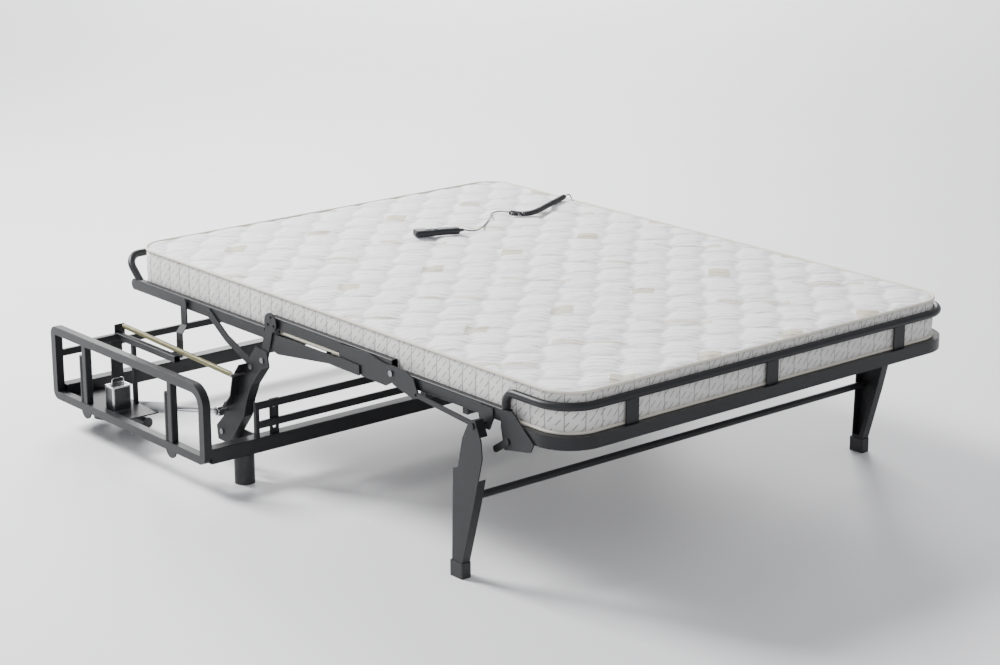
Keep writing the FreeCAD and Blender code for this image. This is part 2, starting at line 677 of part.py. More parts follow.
def rear_link_set(name):
    """The slanting middle of the rear link, between its two flat ends."""
    thick, half = float(S.plate_thick), float(link_half)
    inner, outer = float(layer_2), float(link_out)
    low, high = float(set_low), float(set_high)
    y = float(S.rear_link_y) - half
    points = [(inner, y, high), (inner + thick, y, high), (outer + thick, y, low), (outer, y, low)]
    outline = [FreeCAD.Vector(*point) for point in points]
    face = Part.Face(Part.makePolygon(outline + outline[:1]))
    return feature(name, face.extrude(FreeCAD.Vector(0, 2 * half, 0)))


rear_link = cut("rear_link", fuse("rear_link_solid", [rear_upper, rear_link_set("rear_link_slant"),
                                                      rear_lower]),
                rod("rear_link_hole", 0, arm_hole, S.plate_thick * 3,
                    (link_out - S.plate_thick, S.rear_link_y, S.rear_link_low)))
both_sides("rear_links", [rear_link])

# ------------------------------------------------------------------ actuators
push_y = S.motor_pivot_y - S.ear_y
push_z = S.ear_z - S.motor_pivot_z


def along_actuator(y):
    """The point of the actuator's axis at a place along the bed."""
    share = (float(S.motor_pivot_y) - float(y)) / float(push_y)
    return FreeCAD.Vector(float(S.actuator_x), float(y),
                          float(S.motor_pivot_z) + share * float(push_z))


def actuator_bar(name, rear_y, front_y, radius, bore=None, bore_rear=None):
    """A round bar on the actuator's axis between two places, bored from the front if asked."""
    rear, front = along_actuator(rear_y), along_actuator(front_y)
    axis = front - rear
    shape = Part.makeCylinder(float(radius), axis.Length, rear, axis)
    if bore:
        start = along_actuator(bore_rear)
        shape = shape.cut(Part.makeCylinder(float(bore), axis.Length * 2, start, axis))
    return feature(name, shape)


rod_rear = S.actuator_front_y + 130
tube_rear = S.motor_pivot_y - 24
both_sides("actuator_tubes", [
    actuator_bar("actuator_tube", tube_rear, S.actuator_front_y + 12, S.actuator_radius,
                 S.rod_radius + 4, rod_rear + 60),
    actuator_bar("actuator_collar", S.actuator_front_y + 12, S.actuator_front_y,
                 S.actuator_radius + 2, S.rod_radius + 0.5, S.actuator_front_y + 14)])
eye_radius = S.pin_radius + 9
rod_shape = actuator_bar("actuator_rod_bar", rod_rear, S.ear_y + eye_radius - 2, S.rod_radius)
eye_long = 2 * S.rod_radius + 2
eye_start = S.actuator_x - eye_long / 2
rod_eye = rod("actuator_rod_eye", 0, eye_radius, eye_long, (eye_start, S.ear_y, S.ear_z))
rod_bore = rod("actuator_rod_bore", 0, S.pin_radius + 4, eye_long * 2,
               (eye_start - S.rod_radius, S.ear_y, S.ear_z))
both_sides("actuator_rods", [cut("actuator_rod", fuse("actuator_rod_solid", [rod_shape, rod_eye]),
                                 rod_bore)])
housing_half = S.actuator_radius + 1
housing = rounded("actuator_housing", block(
    "actuator_housing_block", (2 * housing_half, 46, 60),
    (S.actuator_x - housing_half, S.motor_pivot_y - 30, S.motor_pivot_z - 42)), 0, 6)
housing_hole = rod("actuator_housing_hole", 0, arm_hole, 4 * housing_half,
                   (S.actuator_x - 2 * housing_half, S.motor_pivot_y, S.motor_pivot_z))
tube_clear = actuator_bar("actuator_housing_seat", S.motor_pivot_y - 24, S.actuator_front_y,
                          S.actuator_radius)
motor = rod("actuator_motor_can", 1, 17, 92,
            (S.actuator_x, S.motor_pivot_y - 122, S.motor_pivot_z - 25))
both_sides("actuator_motors", [
    cut("actuator_motor", fuse("actuator_motor_solid", [housing, motor]),
        group("actuator_motor_voids", [housing_hole, tube_clear]))])
bracket_x = S.actuator_x + housing_half + 2
both_sides("actuator_brackets", [
    block("actuator_bracket", (S.plate_thick, 100, tray_low - S.motor_pivot_z + 16),
          (bracket_x, S.motor_pivot_y - 20, S.motor_pivot_z - 16)),
    rod("actuator_pin", 0, S.pin_radius, bracket_x - S.actuator_x + housing_half + 4,
        (S.actuator_x - housing_half - 4, S.motor_pivot_y, S.motor_pivot_z)),
])


def long_spring(name):
    """The outer shape of a long tension spring from the corner rail to the drive arm."""
    front = FreeCAD.Vector(float(S.spring_x), float(S.spring_y), float(S.spring_z))
    rear = FreeCAD.Vector(float(S.spring_x), float(S.spring_rear_y), float(S.spring_rear_z))
    axis = rear - front
    return feature(name, Part.makeCylinder(float(S.spring_radius), axis.Length - 0.6, front, axis))


both_sides("long_springs", [long_spring("long_spring")])

# ------------------------------------------------------------------ control box, near side only
box_x = 13 - side_in
box_y = 786 - S.box_deep / 2
rounded("control_box", block("control_box_block", (S.box_wide, S.box_deep, S.box_tall),
                             (box_x, box_y, tray_top)), 2, 3)
box_top = float(tray_top) + float(S.box_tall)
box_mid = FreeCAD.Vector(float(box_x) + float(S.box_wide) / 2, float(box_y) + float(S.box_deep) / 2,
                         box_top)
bent_tube("control_box_handle", [
    box_mid + FreeCAD.Vector(-20, 0, 0), box_mid + FreeCAD.Vector(-20, 0, 20),
    box_mid + FreeCAD.Vector(20, 0, 20), box_mid + FreeCAD.Vector(20, 0, 0)], 1.5, [8, 8])

# ------------------------------------------------------------------ frames under the mattress
def cross_tubes(name, places, half):
    """The square cross tubes of a frame, from side to side."""
    return [square_tube("%s_%d" % (name, index), 0, (2 * half, S.cross_tube_size,
                                                     S.cross_tube_size), (-half, y, cross_low))
            for index, y in enumerate(places)]


def slats(name, front, rear, count):
    """Steel slats that lie on the cross tubes, along the bed."""
    pitch = (S.mattress_width - 2 * 60 - S.slat_wide) / (count - 1)
    return group(name, [
        block("%s_%d" % (name, index), (S.slat_wide, rear - front, S.slat_thick),
              (-(S.mattress_width / 2) + 60 + pitch * index, front, slat_low))
        for index in range(count)])


def hangers(name, places, rail_low):
    """Flat hangers that carry the cross tubes under a high rail."""
    return [block("%s_%d" % (name, index), (S.plate_thick, S.cross_tube_size, rail_low - cross_low),
                  (rail_in, y, cross_low)) for index, y in enumerate(places)]


head_front = S.fold_y + S.fold_room
cross_long = S.head_rail_end - head_front - S.cross_tube_size
head_places = [head_front, head_front + cross_long / 2, head_front + cross_long]
head_rail = square_tube("head_rail", 1, (S.rail_wide, S.head_rail_end - head_front, S.rail_tall),
                        (rail_in, head_front, head_rail_low))
head_cap = rod("head_rail_cap", 0, S.rail_tall / 2, S.rail_wide,
               (rail_in, S.head_rail_end, S.head_rail_top - S.rail_tall / 2))
head_end = cut("head_rail_end_cap", head_cap, block(
    "head_rail_cap_half", (2 * S.rail_wide, S.rail_tall, 2 * S.rail_tall),
    (rail_in - S.rail_wide / 2, S.head_rail_end - S.rail_tall, head_rail_low - S.rail_tall / 2)))
boss = S.plate_gap * 2 + S.plate_thick - running
both_sides("head_rails", [
    head_rail, head_end,
    rod("rear_link_rail_boss", 0, S.rivet_radius, boss,
        (rail_out, S.rear_link_y, S.rear_link_top)),
    rod("curve_rail_pin", 0, S.pin_radius, layer_1 + S.plate_thick + running - rail_out,
        (rail_out, S.curve_top_y, S.curve_top_z))])
group("head_frame", [doc.head_rails] + cross_tubes("head_cross_tube", head_places, rail_in))
slats("head_slats", head_front, S.head_rail_end, 8)

mid_front = S.foot_hinge_y + S.fold_room
mid_rail_rear = S.knob_y + S.knob_radius / 2
mid_rail = square_tube("mid_rail", 1, (S.rail_wide, mid_rail_rear - mid_front, S.rail_tall),
                       (rail_in, mid_front, mid_rail_low))
mid_tube_front = S.foot_hinge_y + 60
mid_tube_rear = mid_rail_rear - S.cross_tube_size
mid_places = [mid_tube_front, (mid_tube_front + mid_tube_rear) / 2, mid_tube_rear]
mid_hangers = hangers("mid_hanger", mid_places, mid_rail_low)
knob_boss = rod("knob_boss", 0, S.rivet_radius + 4, boss, (rail_out, S.knob_y, S.knob_z))
both_sides("mid_rails", [mid_rail, knob_boss] + mid_hangers)
group("mid_frame", [doc.mid_rails] + cross_tubes("mid_cross_tube", mid_places, rail_in))
slats("mid_slats", mid_tube_front, mid_rail_rear, 8)

foot_rear = S.foot_hinge_y - S.fold_room
foot_tube_rear = S.foot_hinge_y - 90 - S.cross_tube_size
foot_places = [S.foot_rail_end, (S.foot_rail_end + foot_tube_rear) / 2, foot_tube_rear]
foot_rail = square_tube("foot_rail", 1, (S.rail_wide, foot_rear - S.foot_rail_end, S.rail_tall),
                        (rail_in, S.foot_rail_end, foot_rail_low))
both_sides("foot_rails", [foot_rail] + hangers("foot_hanger", foot_places, foot_rail_low))
group("foot_frame", [doc.foot_rails] + cross_tubes("foot_cross_tube", foot_places, rail_in))
slats("foot_slats", S.foot_rail_end, foot_tube_rear + S.cross_tube_size, 8)

# the hinge plates between middle and foot frame, on both sides
both_sides("mid_hinge_plates", [
    rod("mid_hinge_pad_%d" % index, 0, S.rivet_radius, S.plate_gap,
        (rail_out, S.foot_hinge_y + 130 + 60 * index, S.foot_hinge_z + 8))
    for index in range(2)] + [
    plate("mid_hinge_plate", [
        (S.foot_hinge_y - 16, S.foot_hinge_z - 16), (S.foot_hinge_y + 30, S.foot_hinge_z - 42),
        (S.foot_hinge_y + 130, S.foot_hinge_z - 40), (S.foot_hinge_y + 232, S.foot_hinge_z - 12),
        (S.foot_hinge_y + 236, S.foot_hinge_z + 26), (S.foot_hinge_y + 110, S.foot_hinge_z + 30),
        (S.foot_hinge_y + 40, S.foot_hinge_z + 18), (S.foot_hinge_y - 14, S.foot_hinge_z + 16)],
        layer_1, S.plate_thick, holes=[(S.foot_hinge_y, S.foot_hinge_z, S.pin_radius)],
        rounding=4),
    plate("mid_lower_plate", [
        (S.foot_hinge_y + 139, S.foot_hinge_z - 40), (S.foot_hinge_y + 281, S.foot_hinge_z - 38),
        (S.foot_hinge_y + 270, S.foot_hinge_z - 16), (S.foot_hinge_y + 228, S.foot_hinge_z - 9),
        (S.foot_hinge_y + 139, S.foot_hinge_z - 12)], layer_2, S.plate_thick, rounding=4)] + [
    rod("mid_lower_rivet_%d" % index, 0, 6, S.plate_gap,
        (layer_1 + S.plate_thick, S.foot_hinge_y + shift, S.foot_hinge_z - 25))
    for index, shift in enumerate((154, 264))])
both_sides("foot_hinge_plates", [
    plate("foot_hinge_plate", [
        (S.foot_hinge_y + 18, S.foot_hinge_z - 16), (S.foot_hinge_y + 20, S.foot_hinge_z + 14),
        (S.foot_hinge_y + 4, S.foot_hinge_z + 22), (S.foot_hinge_y - 60, S.foot_hinge_z + 20),
        (S.foot_hinge_y - 92, S.foot_hinge_z + 6), (S.foot_hinge_y - 118, S.foot_hinge_z - 40),
        (S.foot_hinge_y - 92, S.foot_hinge_z - 48), (S.foot_hinge_y - 12, S.foot_hinge_z - 30)],
        layer_2, S.plate_thick, holes=[(S.foot_hinge_y, S.foot_hinge_z, arm_hole)],
        rounding=4)] + [
    rod("foot_hinge_spacer_%d" % index, 0, S.rivet_radius, layer_2 - rail_out,
        (rail_out, S.foot_hinge_y - 38 - 42 * index, S.foot_hinge_z - 7))
    for index in range(2)] + [
    rod("leg_link_boss", 0, 6, leg_link_x - running - layer_2 - S.plate_thick,
        (layer_2 + S.plate_thick, S.leg_link_y + S.leg_link_long,
         S.leg_link_z + S.leg_link_rise))])
both_sides("foot_hinge_pins", [
    rod("foot_hinge_pin", 0, S.pin_radius, layer_3 - layer_1, (layer_1, S.foot_hinge_y,
                                                              S.foot_hinge_z)),
    rod("foot_hinge_head", 0, S.rivet_radius, S.rivet_tall, (layer_3, S.foot_hinge_y,
                                                             S.foot_hinge_z))])

# the tapered link bar and the spring rod under the middle rail
both_sides("mid_link_bars", [
    plate("mid_link_bar", [
        (S.fold_y - 12, mid_rail_low - 13), (S.fold_y - 30, mid_rail_low - 62),
        (S.fold_y - 60, mid_rail_low - 68), (S.foot_hinge_y + 252, mid_rail_low - 35),
        (S.foot_hinge_y + 246, mid_rail_low - 13)],
        layer_1, S.plate_thick, rounding=4)])
spring_rod_radius = 5
both_sides("mid_spring_rods", [
    rod("mid_spring_rod", 1, spring_rod_radius, S.knob_y - 44 - (S.foot_hinge_y + 244),
        (rail_in + S.rail_wide / 2 + 3, S.foot_hinge_y + 244, mid_rail_low - spring_rod_radius))])

# gussets, stays and loops of the foot end
both_sides("foot_gussets", [
    plate("foot_gusset", [
        (S.foot_rail_end + 16, S.foot_rail_top - 2), (S.foot_rail_end - 24, S.foot_rail_top + 4),
        (S.foot_rail_end - 72, S.foot_rail_top - 34), (S.foot_rail_end - 106, S.foot_rail_top - 60),
        (S.foot_rail_end - 94, S.foot_rail_top - 84), (S.foot_rail_end + 4, S.foot_rail_top - 102),
        (S.foot_rail_end + 18, S.foot_rail_top - 46)],
        rail_out, S.plate_thick, rounding=4),
    strap("leg_stay", (S.foot_rail_end - 8, S.foot_rail_top - 78),
          (S.foot_rail_end + 34, S.foot_rail_top - 106), 9, rail_out + S.plate_thick,
          S.plate_thick)])


def end_tube(name):
    """The rectangular tube that bends round the foot end of the mattress."""
    half = (float(rail_in) + float(rail_out)) / 2
    front = float(S.foot_end_y) + float(S.end_tube_wide) / 2
    start_y = float(S.foot_rail_end) - 60
    low = float(S.end_tube_z)
    path = bent_path([(half, start_y, low), (half, front, low), (-half, front, low),
                      (-half, start_y, low)], [100, 100])
    shapes = []
    for wall in (0, float(S.rail_wall)):
        half_wide = float(S.end_tube_wide) / 2 - wall
        half_tall = float(S.end_tube_tall) / 2 - wall
        corners = [(-half_wide, -half_tall), (half_wide, -half_tall),
                   (half_wide, half_tall), (-half_wide, half_tall)]
        points = [FreeCAD.Vector(half + x, start_y, low + z) for x, z in corners]
        shapes.append(swept(path, Part.makePolygon(points + points[:1])))
    return feature(name, shapes[0].cut(shapes[1]))


end_tube("foot_end_tube")
loop_x = rail_in + S.rail_wide / 2
foot_loop_y = S.foot_end_y + S.loop_radius
loop_start = S.foot_rail_end + 14
bent_tube("foot_loop", [
    (loop_x, loop_start, S.foot_rail_top), (loop_x, loop_start, S.foot_loop_z),
    (loop_x, foot_loop_y, S.foot_loop_z), (-loop_x, foot_loop_y, S.foot_loop_z),
    (-loop_x, loop_start, S.foot_loop_z), (-loop_x, loop_start, S.foot_rail_top)],
    S.loop_radius, [32, 100, 100, 32], S.rail_wall)
strap_low = S.end_tube_z + S.end_tube_tall / 2
group("foot_straps", [
    block("foot_strap_%d" % index, (S.strap_wide, S.plate_thick, S.foot_loop_z - S.loop_radius
                                    - strap_low),
          (S.strap_spacing * (index - 1) - S.strap_wide / 2, foot_loop_y - S.plate_thick / 2,
           strap_low))
    for index in range(3)])

head_loop = bent_tube("head_loop_tube", [
    (loop_x, S.head_rail_end - 34, S.head_rail_top - 20), (loop_x, S.head_loop_y, S.head_loop_z),
    (-loop_x, S.head_loop_y, S.head_loop_z),
    (-loop_x, S.head_rail_end - 34, S.head_rail_top - 20)],
    S.loop_radius, [45, 45], S.rail_wall)
loop_trim = block("head_loop_trim", (2 * rail_out + 60, 240, S.rail_tall),
                  (-rail_out - 30, S.head_rail_end - 160, head_rail_low))
cut("head_loop", head_loop, loop_trim)

# ------------------------------------------------------------------ legs
leg_top_hole = (S.leg_pivot_y, S.leg_pivot_z, arm_hole)
foot_front, foot_back = S.leg_foot_y - 12, S.leg_foot_y + 19
leg_outline = [
    (S.leg_pivot_y + 13, S.leg_pivot_z + 12), (S.leg_pivot_y - 10, S.leg_pivot_z + 18),
    (S.leg_pivot_y - 32, S.leg_pivot_z - 33), (S.leg_pivot_y - 36, S.leg_pivot_z - 77),
    (S.leg_bar_y - 66, S.leg_bar_z + 6), (foot_front, 6), (foot_back, 6),
    (S.leg_pivot_y + 77, S.leg_pivot_z - 129), (S.leg_pivot_y + 57, S.leg_pivot_z - 120),
    (S.leg_pivot_y + 40, S.leg_pivot_z - 40)]
leg_skin = plate("leg_skin", leg_outline, leg_in, S.leg_wide, holes=[leg_top_hole], rounding=3)
leg_hollow = plate("leg_hollow", [
    (S.leg_pivot_y - 60, S.leg_pivot_z - 20), (S.leg_bar_y - 60, S.leg_bar_z + 6),
    (foot_front + 4, S.shoe_tall + 10), (foot_back - 4, S.shoe_tall + 10),
    (S.leg_pivot_y + 72, S.leg_pivot_z - 131), (S.leg_pivot_y + 50, S.leg_pivot_z - 116),
    (S.leg_pivot_y + 26, S.leg_pivot_z - 30)], leg_in - 1, S.leg_wide - S.plate_thick + 1)
both_sides("legs", [
    cut("leg", leg_skin, leg_hollow),
    rod("leg_link_pin", 0, S.leg_link_pin, leg_in - leg_link_x + running,
        (leg_link_x - running, S.leg_link_y, S.leg_link_z))])


def shoe(name):
    """The moulded shoe under a leg: a rounded block with a pocket for the leg."""
    skin = rounded(name + "_skin", block(name + "_block", (S.shoe_wide, S.shoe_long, S.shoe_tall),
                                         (S.leg_place_x - S.shoe_wide / 2,
                                          S.leg_foot_y - S.shoe_long / 2, 0)), 2, 4)
    leg_space = plate(name + "_pocket", [
        (foot_front, 6), (foot_back, 6), (foot_back, S.shoe_tall + 20),
        (foot_front - 16, S.shoe_tall + 20)], leg_in, S.leg_wide)
    return cut(name, skin, leg_space)


both_sides("leg_shoes", [shoe("leg_shoe")])
rod("leg_bar", 0, S.leg_bar_radius, 2 * (leg_out - S.plate_thick),
    (-leg_out + S.plate_thick, S.leg_bar_y, S.leg_bar_z))
both_sides("leg_brackets", [
    plate("leg_bracket", [
        (S.leg_pivot_y + 26, foot_rail_low), (S.leg_pivot_y + 16, S.leg_pivot_z - 14),
        (S.leg_pivot_y - 16, S.leg_pivot_z - 14), (S.leg_pivot_y - 30, foot_rail_low),
        (S.leg_pivot_y - 30, S.foot_rail_top - 6), (S.leg_pivot_y + 26, S.foot_rail_top - 6)],
        rail_out, S.plate_thick, rounding=3),
    rod("leg_pin", 0, S.pin_radius, leg_out + running - rail_out - S.plate_thick,
        (rail_out + S.plate_thick, S.leg_pivot_y, S.leg_pivot_z)),
    rod("leg_pin_head", 0, S.rivet_radius, S.rivet_tall,
        (leg_out + running, S.leg_pivot_y, S.leg_pivot_z))])
both_sides("leg_links", [
    strap("leg_link", (S.leg_link_y, S.leg_link_z),
          (S.leg_link_y + S.leg_link_long, S.leg_link_z + S.leg_link_rise), 7, leg_link_x,
          S.plate_thick, hole=S.leg_link_pin + S.pin_clear)])

# ------------------------------------------------------------------ mattress
half_mattress = S.mattress_width / 2


def mattress_piece(name, front, rear, round_at=None):
    """A plain closed solid for one stretch of the mattress, with round corners at one end."""
    piece = block(name + "_block", (S.mattress_width, rear - front, S.mattress_thick),
                  (-half_mattress, front, S.mattress_bottom))
    if round_at is None:
        piece.Label = name
        return piece
    doc.recompute()
    corners = [(number, float(S.mattress_corner), float(S.mattress_corner))
               for number, edge in enumerate(piece.Shape.Edges, start=1)
               if abs(edge.tangentAt(edge.FirstParameter).z) > 0.9
               and abs(edge.CenterOfMass.y - float(round_at)) < 1]
    soft = doc.addObject("Part::Fillet", name)
    soft.Base, soft.Edges = piece, corners
    return soft


head_fold_rear = S.fold_y + S.head_fold_half
head_fold_front = S.fold_y - S.head_fold_half
foot_fold_rear = S.foot_hinge_y + S.foot_fold_half
foot_fold_front = S.foot_hinge_y - S.foot_fold_half
mattress_piece("mattress_head", head_fold_rear, S.mattress_head_y, S.mattress_head_y)
mattress_piece("mattress_head_fold", head_fold_front + S.soft_gap, head_fold_rear - S.soft_gap)
mattress_piece("mattress_mid", foot_fold_rear, head_fold_front)
mattress_piece("mattress_foot_fold", foot_fold_front + S.soft_gap, foot_fold_rear - S.soft_gap)
mattress_piece("mattress_foot", S.mattress_foot_y, foot_fold_front, S.mattress_foot_y)

# ------------------------------------------------------------------ handset and its cord
handset_low = mattress_top + S.soft_gap
turned = FreeCAD.Rotation(FreeCAD.Vector(0, 0, 1), float(S.handset_turn))


def on_handset(along, across, up):
    """A point on the handset, from its middle, as expressions of the sheet."""
    cosine = math.cos(math.radians(float(S.handset_turn)))
    sine = math.sin(math.radians(float(S.handset_turn)))
    return (S.handset_x + along * cosine - across * sine,
            S.handset_y + along * sine + across * cosine, handset_low + up)


def handset_block(name, size, start):
    """A box that is turned with the handset."""
    piece = doc.addObject("Part::Box", name)
    bind(piece, dict(zip(("Length", "Width", "Height"), size)))
    return place(piece, *on_handset(*start), rotation=turned)


key_long, key_wide, key_tall = 16, 12, 3
key_places = (-38, -16)
grip = handset_block("handset_grip", (S.handset_long, S.handset_wide - 10, S.handset_tall),
                     (-S.handset_long / 2, -(S.handset_wide - 10) / 2, 0))
head_part = handset_block("handset_head", (S.handset_long * 0.45, S.handset_wide, S.handset_tall),
                          (-S.handset_long / 2, -S.handset_wide / 2, 0))
keyways = [handset_block("handset_keyway_%d" % index, (key_long + 1, key_wide + 1, 2 * key_tall),
                         (key - 0.5, -key_wide / 2 - 0.5, S.handset_tall - key_tall - 1))
           for index, key in enumerate(key_places)]
cut("handset_body", fuse("handset_solid", [grip, head_part]), group("handset_keyways", keyways))
for name, key in zip(("handset_up_key", "handset_down_key"), key_places):
    handset_block(name, (key_long, key_wide, key_tall),
                  (key, -key_wide / 2, S.handset_tall - key_tall + 1.5))
gland_long = 14
tail = [float(size) for size in on_handset(S.handset_long / 2, 0, S.handset_tall / 2)]
gland_end = [float(size) for size in on_handset(S.handset_long / 2 + gland_long, 0,
                                                S.handset_tall / 2)]
tail, gland_end = FreeCAD.Vector(*tail), FreeCAD.Vector(*gland_end)
feature("handset_gland", Part.makeCone(6, 3.5, gland_long, tail, gland_end - tail))
cord_start = gland_end + (gland_end - tail).normalize() * 0.6


def cord_arcs(name, points):
    """The arc radii of a cord's route: 0.45 of the shorter run over the tangent of half the turn."""
    radii = []
    for before, corner, after in zip(points, points[1:], points[2:]):
        first, second = corner - before, after - corner
        turn = first.getAngle(second)
        radii.append(0.45 * min(first.Length, second.Length) / math.tan(turn / 2))
    print(name, "radii", [round(radius, 1) for radius in radii])
    return radii


def cord_tube(name, points, radius):
    """A stretch of cord as a plain tube; its volume is compared with section times length."""
    points = [FreeCAD.Vector(*point) for point in points]
    radii = cord_arcs(name, points)
    tube = bent_tube(name, points, radius, radii)
    expected = math.pi * float(radius) ** 2 * bent_path(points, radii).Length
    print(name, "length", round(expected / math.pi / float(radius) ** 2, 1),
          "volume ratio", round(tube.Shape.Volume / expected, 4))
    return tube


mattress_z = float(mattress_top)
lying = mattress_z + float(S.cord_radius) + 0.6
curly_z = mattress_z + float(S.curly_radius) + 0.6
front_route = [
    tuple(cord_start), (154, 366, lying + 2), (186, 374, lying),
    (228, 402, lying), (268, 434, lying), (304, 464, lying), (334, 492, lying),
    (350, 512, lying + 1), (372, 514, lying + 3), (384, 500, curly_z - 1), (384, 478, curly_z)]
curly_route = [
    (384, 478, curly_z), (386, 442, curly_z), (418, 414, curly_z), (466, 424, curly_z),
    (522, 452, curly_z), (584, 482, curly_z), (642, 508, curly_z), (680, 530, curly_z)]
clip_thick = 2 * S.cord_radius
clip_x, clip_y = float(rail_out + S.cord_radius), 549
clip_top = float(S.head_rail_top) + 6
rear_route = [
    (680, 530, curly_z), (706, 540, curly_z), (722, 546, curly_z - 22),
    (clip_x, clip_y, curly_z - 56), (clip_x, clip_y + 1, clip_top)]
cord_tube("handset_cord_curly", curly_route, S.curly_radius)
group("handset_cord_plain", [
    cord_tube("handset_cord_front", front_route, S.cord_radius),
    cord_tube("handset_cord_rear", rear_route, S.cord_radius)])
block("cord_clip", (clip_thick, 26, S.rail_tall), (rail_out, clip_y - 13, head_rail_low + 6))

# ------------------------------------------------------------------ check and write
NODES = [
    "base_beams", "base_rear_bar", "apron_bars", "base_feet", "side_frames", "side_uprights",
    "armrest_posts", "corner_rails", "corner_stands", "arm_brackets", "base_pivots",
    "control_box", "control_box_handle", "long_springs", "actuator_brackets",
    "drive_arms", "drive_arm_pins", "knob_arms", "curved_links", "rear_links",
    "actuator_tubes", "actuator_motors", "actuator_rods",
    "head_frame", "head_slats", "head_loop", "mattress_head", "mattress_head_fold", "cord_clip",
    "handset_body", "handset_gland", "handset_up_key", "handset_down_key",
    "handset_cord_plain", "handset_cord_curly",
    "mid_frame", "mid_slats", "mid_hinge_plates", "foot_hinge_pins", "mid_spring_rods",
    "mattress_mid", "mid_link_bars",
    "foot_frame", "foot_slats", "foot_hinge_plates", "foot_gussets", "foot_end_tube",
    "foot_loop", "foot_straps", "leg_brackets", "mattress_foot", "mattress_foot_fold",
    "legs", "leg_shoes", "leg_bar", "leg_links",
]
doc.recompute()
for piece in doc.Objects:
    if "Invalid" in piece.State or "Error" in piece.State:
        raise RuntimeError("%s is %s" % (piece.Label, piece.getStatusString()))
labels = {piece.Label: piece for piece in doc.Objects}
for name in NODES:
    shape = labels[name].Shape
    if shape.isNull() or not shape.isValid() or not shape.Solids:
        raise RuntimeError("%s has no valid shape" % name)

os.makedirs("parts", exist_ok=True)
for name in NODES:
    labels[name].Shape.exportStep("parts/%s.step" % name)
print("wrote", len(NODES), "nodes")
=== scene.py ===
"""Looks of the fold-out sofa bed mechanism: cord, steelwork, springs, mattress and handset.

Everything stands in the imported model's frame, in metres: X across the bed, Y towards the head
end, Z up, with the floor at 0. After the camera and the handset's cord, the sections follow
the bed as it is put together.
"""
import math
import bpy
import numpy as np
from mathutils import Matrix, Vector


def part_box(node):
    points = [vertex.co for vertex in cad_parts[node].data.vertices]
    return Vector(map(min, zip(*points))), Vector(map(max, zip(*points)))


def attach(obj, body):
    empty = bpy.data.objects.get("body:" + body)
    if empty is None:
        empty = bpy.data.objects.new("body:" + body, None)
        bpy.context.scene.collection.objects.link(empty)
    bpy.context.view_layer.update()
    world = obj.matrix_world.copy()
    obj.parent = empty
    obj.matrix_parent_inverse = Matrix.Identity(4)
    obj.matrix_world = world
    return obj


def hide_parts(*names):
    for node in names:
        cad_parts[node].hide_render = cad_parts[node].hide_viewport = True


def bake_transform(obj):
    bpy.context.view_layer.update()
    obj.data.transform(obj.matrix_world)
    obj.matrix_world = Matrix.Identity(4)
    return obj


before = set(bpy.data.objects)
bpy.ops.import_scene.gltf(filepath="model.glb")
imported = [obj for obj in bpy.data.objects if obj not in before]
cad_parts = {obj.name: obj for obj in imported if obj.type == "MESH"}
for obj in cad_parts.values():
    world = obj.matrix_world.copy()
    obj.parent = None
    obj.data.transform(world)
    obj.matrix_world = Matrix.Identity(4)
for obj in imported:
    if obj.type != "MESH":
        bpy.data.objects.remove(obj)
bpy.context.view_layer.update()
scene = bpy.context.scene

# ---------------------------------------------------------------- camera
# It stands off the foot end on the control box's side, a little above the bed,
# with a long lens, so that near and far edges converge only slightly.
camera = bpy.data.objects.new("camera", bpy.data.cameras.new("camera"))
camera.data.lens = 85
camera.data.sensor_width = 36
camera.location = (-4.287, -5.028, 2.2755)
looking = Vector((0.6191, 0.7338, -0.2798))
camera.rotation_euler = looking.to_track_quat("-Z", "Y").to_euler()
scene.collection.objects.link(camera)
scene.camera = camera

# ---------------------------------------------------------------- handset cord
# One thin wire in a soft black jacket leaves the clip on the far rail and lies across the
# mattress to the handset. Its middle was wound hot on a rod, so it stays coiled; the coil's
# turns are points of the same line.
mattress_low, mattress_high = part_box("mattress_mid")
bed_top = mattress_high.z
cord_radius = 0.002
coil_radius, coil_pitch = 0.007, 0.0052
coil_ramp, loose_turn = 0.024, 6
coil_turn_points = 14
lying, coil_level = bed_top + cord_radius + 0.0006, bed_top + 0.0096
handset_wire = [
    (0.12892, 0.37524, 0.5674), (0.154, 0.366, lying + 0.002), (0.186, 0.374, lying),
    (0.228, 0.402, lying), (0.268, 0.434, lying), (0.304, 0.464, lying), (0.334, 0.492, lying),
    (0.350, 0.512, lying + 0.001), (0.372, 0.514, lying + 0.003), (0.384, 0.500, coil_level - 0.001),
    (0.384, 0.478, coil_level)]
coil_route = [
    (0.384, 0.478, coil_level), (0.386, 0.442, coil_level), (0.418, 0.414, coil_level),
    (0.466, 0.424, coil_level), (0.522, 0.452, coil_level), (0.584, 0.482, coil_level),
    (0.642, 0.508, coil_level), (0.680, 0.530, coil_level)]
clip_wire = [
    (0.680, 0.530, coil_level), (0.706, 0.540, coil_level), (0.722, 0.546, coil_level - 0.022),
    (0.726, 0.549, coil_level - 0.056), (0.726, 0.550, 0.461)]


